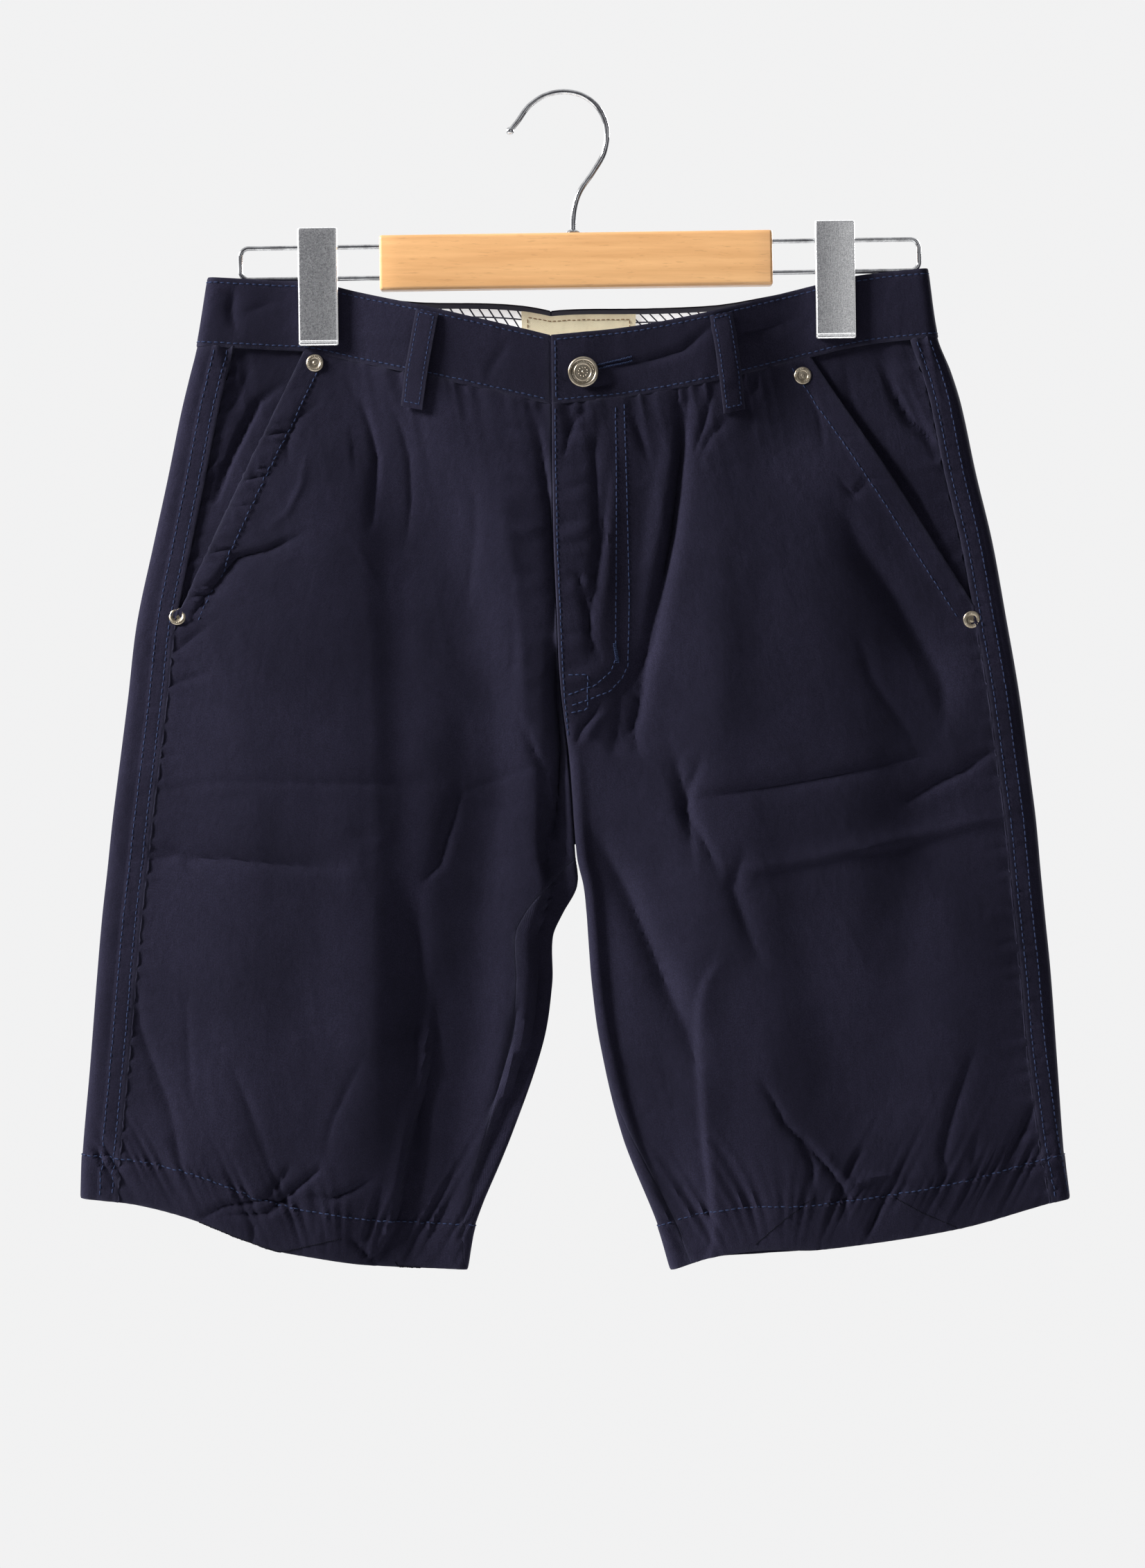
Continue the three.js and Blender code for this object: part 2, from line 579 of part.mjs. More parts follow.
function asGeometry(solid) {
  const mesh = solid.getMesh();
  const geometry = new THREE.BufferGeometry();
  geometry.setAttribute("position", new THREE.Float32BufferAttribute(mesh.vertProperties, 3));
  geometry.setIndex(Array.from(mesh.triVerts));
  geometry.computeVertexNormals();
  return geometry;
}

function disc(radius, sides) {
  const shape = new THREE.Shape();
  for (let i = 0; i < sides; i += 1) {
    const turn = (2 * Math.PI * i) / sides;
    const [x, y] = [radius * Math.cos(turn), radius * Math.sin(turn)];
    if (i === 0) shape.moveTo(x, y);
    else shape.lineTo(x, y);
  }
  shape.closePath();
  return shape;
}

function wire(points, diameter, steps, sides) {
  const path = new THREE.CatmullRomCurve3(points.map(([x, z]) => new THREE.Vector3(x, 0, z)));
  return new THREE.ExtrudeGeometry(disc(diameter / 2, sides), { steps, extrudePath: path, bevelEnabled: false });
}

const BAR_TOP = BAR.z + BAR.height / 2;
const STEM_X = 4.2;
// The hook's centreline, from its tip over the crown to the stem in the bar.
const HOOK_LINE = [
  [-31.6, -20.4], [-27.6, -15.6], [-20.8, -6.6], [-11.2, -0.4], [0, HOOK_WIRE / 2], [11.6, -1],
  [20.6, -8.8], [25, -20.6], [23.2, -34.6], [16.4, -46.4], [8.6, -57.6], [5, -68.6], [STEM_X, BAR_TOP + 0.3],
];
const HOOK_TIP_RADIUS = 2.4;

function hook() {
  const tip = new THREE.SphereGeometry(HOOK_TIP_RADIUS, 12, 8);
  const [x, z] = HOOK_LINE[0];
  tip.translate(x - 0.6, 0, z - 0.4);
  return asGeometry(asSolid(wire(HOOK_LINE, HOOK_WIRE, 56, 10)).add(asSolid(tip)));
}

// One end of the wire frame: out of the bar's end face, round the end and back in below.
function railLoop(barEnd, end) {
  const toward = Math.sign(end - barEnd);
  const c = RAIL.corner * toward;
  const path = new THREE.CurvePath();
  const at = (x, z) => new THREE.Vector3(x, 0, z);
  const points = [
    at(barEnd, RAIL.top), at(end - c, RAIL.top), at(end, RAIL.top - RAIL.corner),
    at(end, RAIL.bottom + RAIL.corner), at(end - c, RAIL.bottom), at(barEnd, RAIL.bottom),
  ];
  path.add(new THREE.LineCurve3(points[0], points[1]));
  path.add(new THREE.QuadraticBezierCurve3(points[1], at(end, RAIL.top), points[2]));
  path.add(new THREE.LineCurve3(points[2], points[3]));
  path.add(new THREE.QuadraticBezierCurve3(points[3], at(end, RAIL.bottom), points[4]));
  path.add(new THREE.LineCurve3(points[4], points[5]));
  return new THREE.ExtrudeGeometry(disc(RAIL_WIRE / 2, 8), { steps: 64, extrudePath: path, bevelEnabled: false });
}

function bar() {
  const shape = new THREE.Shape();
  const [w, h, c] = [BAR.length / 2 - BAR.chamfer, BAR.height / 2 - BAR.chamfer, BAR.chamfer];
  shape.moveTo(-w, -h + c);
  [[-w + c, -h], [w - c, -h], [w, -h + c], [w, h - c], [w - c, h], [-w + c, h], [-w, h - c]].forEach(
    ([x, y]) => shape.lineTo(x, y),
  );
  shape.closePath();
  const geometry = new THREE.ExtrudeGeometry(shape, {
    depth: BAR.thickness - 2 * c, bevelEnabled: true, bevelSize: c, bevelThickness: c, bevelSegments: 1,
  });
  geometry.translate(0, 0, -BAR.thickness / 2 + c);
  geometry.rotateX(Math.PI / 2);
  geometry.translate(BAR.x, 0, BAR.z);
  return geometry;
}

// Half a clip: a web, two side flanges with ears that sit over the lower rail, and a jaw at the foot.
// It is made at the rail, facing -Y, and turned half round for the back.
const EAR = { radius: 3.6, notch: RAIL_WIRE / 2 + 0.3, foot: -0.6, steps: 10 };

function clipPlate(front) {
  const top = CLIP.above;
  const foot = CLIP.above - CLIP.length;
  const half = CLIP.width / 2 - (front ? 0 : CLIP.web + 0.3);
  const web = new THREE.BoxGeometry(2 * half, CLIP.web, CLIP.length);
  web.translate(0, -CLIP.depth + CLIP.web / 2, (top + foot) / 2);
  let solid = asSolid(web);
  const inner = -CLIP.depth + CLIP.web * 0.5;
  const side = new THREE.Shape();
  side.moveTo(inner, top);
  side.lineTo(inner, foot);
  side.lineTo(-CLIP.grip - 0.5, foot);
  side.lineTo(-CLIP.grip - 0.5, EAR.foot);
  for (const [radius, from, to] of [[EAR.notch, Math.PI, 0], [EAR.radius, 0, Math.PI * 0.75]]) {
    side.lineTo(radius * Math.cos(from), EAR.foot);
    for (let i = 0; i <= EAR.steps; i += 1) {
      const turn = mix(from, to, i / EAR.steps);
      side.lineTo(radius * Math.cos(turn), radius * Math.sin(turn));
    }
    if (to === 0) side.lineTo(radius, EAR.foot);
  }
  side.lineTo(-CLIP.grip - 0.8, EAR.radius * 1.6);
  side.lineTo(-CLIP.grip - 0.8, top);
  side.closePath();
  for (const x of [-half, half - CLIP.web]) {
    const flange = new THREE.ExtrudeGeometry(side, { depth: CLIP.web, bevelEnabled: false });
    flange.rotateY(Math.PI / 2);
    flange.rotateX(Math.PI / 2);
    flange.translate(x, 0, 0);
    solid = solid.add(asSolid(flange));
  }
  const jaw = new THREE.BoxGeometry(2 * half, CLIP.depth - CLIP.grip - 0.2, CLIP.jaw);
  jaw.translate(0, -(CLIP.depth + CLIP.grip + 0.2) / 2, foot + CLIP.jaw / 2);
  solid = solid.add(asSolid(jaw));
  const geometry = asGeometry(solid);
  if (!front) geometry.rotateZ(Math.PI);
  return geometry;
}

// The flat spring that spreads the plates' tops: a strip bent over the rail, with a leg down each plate.
const SPRING = { outer: CLIP.depth - CLIP.web - 0.3, thick: 1.1, leg: 9, half: 7, steps: 12 };

function spring() {
  const shape = new THREE.Shape();
  const arch = (radius, from, to) => {
    for (let i = 0; i <= SPRING.steps; i += 1) {
      const turn = mix(from, to, i / SPRING.steps);
      shape.lineTo(radius * Math.cos(turn), radius * Math.sin(turn));
    }
  };
  const inner = SPRING.outer - SPRING.thick;
  shape.moveTo(SPRING.outer, -SPRING.leg);
  arch(SPRING.outer, 0, Math.PI);
  shape.lineTo(-SPRING.outer, -SPRING.leg);
  shape.lineTo(-inner, -SPRING.leg);
  arch(inner, Math.PI, 0);
  shape.lineTo(inner, -SPRING.leg);
  shape.closePath();
  const geometry = new THREE.ExtrudeGeometry(shape, { depth: 2 * SPRING.half, bevelEnabled: false });
  geometry.rotateY(Math.PI / 2);
  geometry.rotateX(Math.PI / 2);
  geometry.translate(-SPRING.half, 0, 0);
  return geometry;
}

function ferrule() {
  const bore = HOOK_WIRE / 2 + 0.3;
  const profile = [[bore, 0], [4, 0], [4, 0.8], [2.8, 1.8], [bore, 1.8], [bore, 0]];
  const geometry = new THREE.LatheGeometry(profile.map(([r, h]) => new THREE.Vector2(r, h)), 18);
  geometry.rotateX(Math.PI / 2);
  geometry.translate(STEM_X, 0, BAR_TOP + SEAM_GAP);
  return geometry;
}

const shorts = new THREE.Group();
for (const side of SIDES) {
  shorts.add(named(`front_${side}`, frontPanel(side), NAVY));
  shorts.add(named(`back_${side}`, backPanel(side), NAVY));
  shorts.add(named(`pocket_facing_${side}`, pocketFacing(side), NAVY));
  shorts.add(named(`waistband_${side}`, waistband(side), NAVY));
  shorts.add(named(`waistband_lining_${side}`, waistbandLining(side), STRIPED));
  shorts.add(named(`hem_facing_${side}`, hemFacing(side), NAVY));
}
shorts.add(named("belt_loop_front_right", beltLoop(-1, -79.5, -89.5), NAVY));
shorts.add(named("belt_loop_front_left", beltLoop(-1, 91.5, 99.5), NAVY));
shorts.add(named("belt_loop_back_right", beltLoop(1, -112, -116), NAVY));
shorts.add(named("belt_loop_back_left", beltLoop(1, 120, 124), NAVY));
shorts.add(named("belt_loop_back_centre", beltLoop(1, -7.6, -7.3), NAVY));
shorts.add(named("label", label(), CREAM));

const onCloth = CLOTH / 2;
const onSeam = onCloth + FELLED_LIFT;
const onFly = BAND_CLOTH / 2 + FLY_LIFT;
shorts.add(named("fly_button", stud("left", 10.2, -20, BUTTON_PROFILE, onFly), NICKEL));
shorts.add(named("rivet_pocket_top_right", stud("right", -148.5, 9, RIVET_PROFILE, onCloth), NICKEL));
shorts.add(named("rivet_pocket_top_left", stud("left", 141, 9, RIVET_PROFILE, onCloth), NICKEL));
shorts.add(named("rivet_pocket_side_right", stud("right", -227.6, 160, RIVET_PROFILE, onSeam), NICKEL));
shorts.add(named("rivet_pocket_side_left", stud("left", 240.6, 164, RIVET_PROFILE, onSeam), NICKEL));

const hanger = new THREE.Group();
hanger.rotation.y = -THREE.MathUtils.degToRad(HANGER_TILT);
hanger.add(named("hanger_bar", bar(), BEECH));
hanger.add(named("hanger_hook", hook(), CHROME));
hanger.add(named("hook_ferrule", ferrule(), CHROME));
const barEnds = { right: BAR.x - BAR.length / 2 - SEAM_GAP, left: BAR.x + BAR.length / 2 + SEAM_GAP };
for (const side of SIDES) {
  hanger.add(named(`hanger_rail_${side}`, railLoop(barEnds[side], side === "left" ? RAIL.right : RAIL.left), CHROME));
  const clip = new THREE.Group();
  clip.position.set(CLIP_X[side], 0, RAIL.bottom);
  clip.add(named(`clip_front_${side}`, clipPlate(true), CHROME));
  clip.add(named(`clip_back_${side}`, clipPlate(false), CHROME));
  clip.add(named(`clip_spring_${side}`, spring(), CHROME));
  hanger.add(clip);
}

const root = new THREE.Group();
root.add(shorts, hanger);

export default root;
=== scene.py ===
"""Cotton bermuda shorts on a clip hanger, dressed for display.

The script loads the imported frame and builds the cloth, stitching, metal and hanger over it as an
add-on: each piece or group has an operator, and the panel in the sidebar runs them. Sizes are in
millimetres in the tables and in metres in the scene. +X is the wearer's left, -Y the front, +Z up.
"""

import math
from types import SimpleNamespace

import bpy
import numpy as np
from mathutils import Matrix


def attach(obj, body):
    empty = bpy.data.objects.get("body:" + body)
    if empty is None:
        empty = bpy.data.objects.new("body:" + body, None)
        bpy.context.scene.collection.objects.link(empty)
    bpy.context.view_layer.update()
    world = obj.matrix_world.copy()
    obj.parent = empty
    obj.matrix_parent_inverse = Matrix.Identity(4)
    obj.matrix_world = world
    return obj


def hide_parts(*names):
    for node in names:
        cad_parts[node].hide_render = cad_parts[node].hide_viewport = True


bl_info = {
    "name": "Bermuda Shorts on a Hanger",
    "version": (1, 0, 0),
    "blender": (4, 5, 0),
    "location": "View3D > Sidebar > Shorts",
    "description": "Builds cotton bermuda shorts hung from a clip hanger",
    "category": "Add Mesh",
}

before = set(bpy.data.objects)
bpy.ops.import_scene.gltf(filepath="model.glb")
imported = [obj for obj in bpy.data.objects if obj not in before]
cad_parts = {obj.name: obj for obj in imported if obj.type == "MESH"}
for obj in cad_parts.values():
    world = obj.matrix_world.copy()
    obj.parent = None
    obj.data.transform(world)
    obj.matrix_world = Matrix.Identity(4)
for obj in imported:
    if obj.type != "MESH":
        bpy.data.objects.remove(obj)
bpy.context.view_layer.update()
MM = 0.001
SIDES = ("left", "right")

# Each leg is a flattened tube. Rows are named by their drop below the waist seam, and places in a
# row by the distance round the tube from the fold at the garment's side.
OUTLINE = np.array([
    # drop, right leg outer fold, right leg inner fold, left leg inner fold, left leg outer fold
    (-41, -209.7, -7.8, -7.8, 214.3), (0, -216.4, -7.3, -7.3, 220.5), (20, -221.3, -7.2, -7.2, 228.4),
    (40, -226, -7, -7, 234.6), (80, -234, -6.2, -6.2, 243.2), (120, -242.6, -4.5, -4.5, 252.8),
    (165, -252, -2.3, -2.3, 261), (210, -257.3, 3, 3, 268.8), (265, -264.2, 7.3, 7.3, 276.2),
    (282, -266.3, 8.2, 11.2, 278.4), (298, -268, 0, 13, 280), (312, -269.4, -6, 14, 281.2),
    (340, -272.5, -6.4, 16.2, 283.9), (375, -275.5, -12, 21, 287.4), (430, -279.7, -31, 34.5, 291.4),
    (480, -284, -51.5, 54.5, 295), (508, -285, -57, 63, 298.3),
])
OUT_COLUMN = {"right": 1, "left": 4}
IN_COLUMN = {"right": 2, "left": 3}

# Heights of the waist seam and the hem across a half, from the side fold (0) to the inner fold (1).
SEAM_LEVEL = {
    "right": np.array([(0, -149.7), (0.19, -151.5), (0.32, -153), (0.44, -158.5),
                      (0.6, -166), (0.93, -181.5), (1, -185)]),
    "left": np.array([(0, -144.3), (0.19, -148.8), (0.31, -155), (0.43, -162),
                     (0.57, -170.5), (0.79, -180), (1, -185)]),
}
HEM_LEVEL = {
    "right": np.array([(0, -652.7), (0.15, -656.5), (0.29, -664.5), (0.48, -681),
                      (0.63, -687.8), (0.76, -692), (1, -695)]),
    "left": np.array([(0, -652.9), (0.05, -655.5), (0.28, -670), (0.63, -682.2),
                     (0.76, -682.6), (0.89, -686.7), (1, -695)]),
}
# Where across the back's waist starts to rise; how much lower its hem hangs, and where most.
BACK_RISE_FROM = {"right": 0.45, "left": 0.3}
BACK_HEM = {"right": (1.6, 0.2), "left": (5.6, 0.8)}

# How far the faces stand from the middle plane, away from the folds.
FRONT_DEPTH = np.array([(-41, 15.5), (0, 14.5), (80, 15), (180, 16), (265, 15.5), (400, 14.5), (508, 13.5)])
BACK_DEPTH = np.array([(-41, 10), (0, 11), (80, 13), (180, 14), (265, 14), (400, 13), (508, 12)])

# Rows of drop and how far in from the fold: the side seam on the front, and the inside leg seam.
SIDE_SEAM = {
    "right": np.array([(-41, 21.5), (0, 21.5), (260, 24), (508, 22.5)]),
    "left": np.array([(-41, 15.5), (0, 16), (60, 18.2), (400, 18), (450, 15.5), (508, 11.5)]),
}
INSEAM = {
    "right": np.array([(265, 0), (282, 15), (300, 21), (340, 21), (430, 15), (480, 7), (508, 3)]),
    "left": np.array([(265, 0), (380, 0.5), (430, 5), (480, 9.5), (508, 11.5)]),
}
# The groove beside the inside leg seam: drop, distance in, depth.
INSEAM_GROOVE = {
    "right": np.array([(195, 12, 0), (232, 15, 4), (268, 17, 7), (306, 9, 8), (341, 8.5, 8.5), (386, 9, 7.5),
                       (427, 11, 5), (455, 9, 3), (482, 6, 1.2), (508, 5, 0.5)]),
    "left": np.array([(195, 8, 0), (265, 8, 2.4), (300, 8, 4), (400, 9, 3), (450, 9, 2.2), (485, 8, 1),
                      (508, 8, 0.5)]),
}
GROOVE_WIDTH = {"right": (2.2, 34.0), "left": (14.0, 2.6)}
# The puckers at the seams: their height, the length of one, and how far they reach from the seam.
WAIST_RUCK = SimpleNamespace(height=0.7, length=10, reach=20)
HEM_RUCK = SimpleNamespace(height=1.05, length=8, above=19, uneven=12, below=14)
POCKET_RUCK = SimpleNamespace(height={"right": 1.0, "left": 0.35}, length=7, inwards=7, reach=6)
POCKET_EDGE = {"right": (-154, -226), "left": (146, 242)}
CLIP_X = {"right": -146.7, "left": 158.6}

LEG_DROP = 508.0
HEM_DROP = 482.0
BAND_TOP = -41.0
CROTCH_DROP = 265.0
POCKET_DROP = 156.0
RADIUS = 6.0
EDGE_DEPTH = 6.5
FOLD_ARC = math.pi / 4 * (RADIUS + EDGE_DEPTH)
LENS = 0.42
CLIP_HALF = 2.8
FLY_WIDTH = 38.0
FLY_DROP = 195.0
FLY_LIFT = 1.4
FELLED_WIDTH = 12.0
FELLED_LIFT = 0.7
LINING_OFFSET = -2.0
SIDE_STITCHES = (3.7, 11.0)
BAND_STITCHES = (-38.0, -2.8)
POCKET_STITCHES = 12.0
CREASE_WIDTH = 0.56
CREASE_TOPS = ([14, 60], [1.15, 2.0])

# Each belt loop: front (-1) or back (1), and where its top and its bottom stand across.
LOOPS = {
    "belt_loop_front_right": (-1, -79.8, -89.2), "belt_loop_front_left": (-1, 92, 100),
    "belt_loop_back_right": (1, -112, -116), "belt_loop_back_left": (1, 120, 124),
    "belt_loop_back_centre": (1, -7.6, -7.3),
}
LOOP_TOP = -38.0
LOOP_BOTTOM = 19.5
LOOP_HALF = 6.25

BUTTON_X = 11.4
BUTTON_DROP = -17.5
BUTTON_PROFILE = (
    (0, 0), (5.2, 0), (5.2, 1.7), (8.2, 1.75), (8.85, 2.0), (9.0, 2.45), (8.85, 2.9), (8.3, 3.25),
    (7.7, 3.35), (7.2, 3.2), (6.95, 2.85), (6.8, 2.6), (5.6, 2.62), (5.3, 2.9), (4.95, 3.02),
    (4.6, 2.92), (4.35, 2.6), (3.0, 2.45), (1.4, 2.5), (0, 2.55),
)
RIVET_PROFILE = (
    (0, 0), (5.0, 0), (5.22, 0.3), (5.25, 0.75), (5.0, 1.15), (4.5, 1.42), (3.9, 1.5), (3.3, 1.42),
    (2.85, 1.2), (2.6, 0.85), (1.9, 0.72), (1.3, 0.8), (0.9, 1.1), (0.4, 1.2), (0, 1.22),
)
RIVETS = {
    "rivet_pocket_top_right": ("right", -147.0, 5.8), "rivet_pocket_top_left": ("left", 141.0, 9.0),
    "rivet_pocket_side_right": ("right", -227.6, 160.0), "rivet_pocket_side_left": ("left", 240.6, 164.0),
}

# The hanger, before its small tilt about the hook's seat.
HANGER_TILT = math.radians(-0.8)
HOOK_LINE = (
    (-31.6, -20.4), (-27.6, -15.6), (-20.8, -6.6), (-11.2, -0.4), (0, 1.6), (11.6, -1), (20.6, -8.8),
    (25, -20.6), (23.2, -34.6), (16.4, -46.4), (8.6, -57.6), (5, -68.6), (4.2, -82),
)
HOOK_RADIUS = 1.6
HOOK_TIP_RADIUS = 2.4
FERRULE_PROFILE = (
    (0, 0), (3.9, 0), (4.0, 0.15), (4.0, 0.6), (3.7, 0.95), (3.1, 1.3), (2.6, 1.65), (2.2, 1.85), (0, 1.9),
)
BAR = SimpleNamespace(x=5.8, z=-98.6, length=232.0, height=32.5, thickness=14.0, corner=2.2)
RAIL = SimpleNamespace(top=-88.6, bottom=-107.1, left=208.6, right=-192.7, corner=5.0, radius=1.4)
CLIP = SimpleNamespace(top=29.5, bottom=-40.2, half=11.7, back_inset=1.3, depth=8.6, corner=1.3,
                       flange=-4.9, plate=0.95, rail_gap=4.6)

# The folds that shape each face: first point, last point, sideways bow, height, width on each side.
FRONT_FOLDS = (
    (-100, -190, -92, -560, -8, -4.5, 24, 26), (-78, -520, -112, -700, 3, -3.5, 12, 20),
    (-175, -200, -190, -640, -6, 3, 34, 34), (-40, -200, -34, -520, 4, 2.6, 20, 22),
    (62, -170, 40, -392, -7, -4, 9, 16), (84, -200, 88, -420, 3, 2.8, 16, 28),
    (78, -500, 92, -700, -3, 3, 14, 26), (60, -520, 76, -690, -2, -2.4, 14, 13),
    (118, -400, 165, -640, 6, -3.4, 26, 22), (215, -330, 232, -640, 4, 2.4, 30, 24),
    (-244, -452, -128, -458, 0, -1.6, 10, 16), (108, -461, 262, -424, 4, -1.8, 14, 10),
)
BACK_FOLDS = (
    (-120, -200, -104, -600, 6, -3.6, 26, 24), (-190, -230, -206, -620, -5, 2.6, 30, 34),
    (-30, -330, -120, -520, -8, -3, 20, 16), (112, -210, 126, -610, -7, -3.4, 24, 28),
    (196, -240, 216, -600, 5, 2.4, 32, 30), (34, -340, 118, -500, 8, -2.8, 16, 20),
)

# The views of the photograph in which creases were picked. Each has the photograph's pixel at
# its top left corner, and its own pixels to one of the photograph's, across and down.
UPPER_LEFT = (110, 380, 2.0, 2.0)
UPPER_RIGHT = (760, 380, 1.875, 1.875)
LOWER_LEFT = (110, 1080, 2.0, 2.0)
LOWER_RIGHT = (760, 1080, 1.95, 1.948)
HOOK_PIXEL = (813.6, 136)
PIXEL_SIZE = 0.41

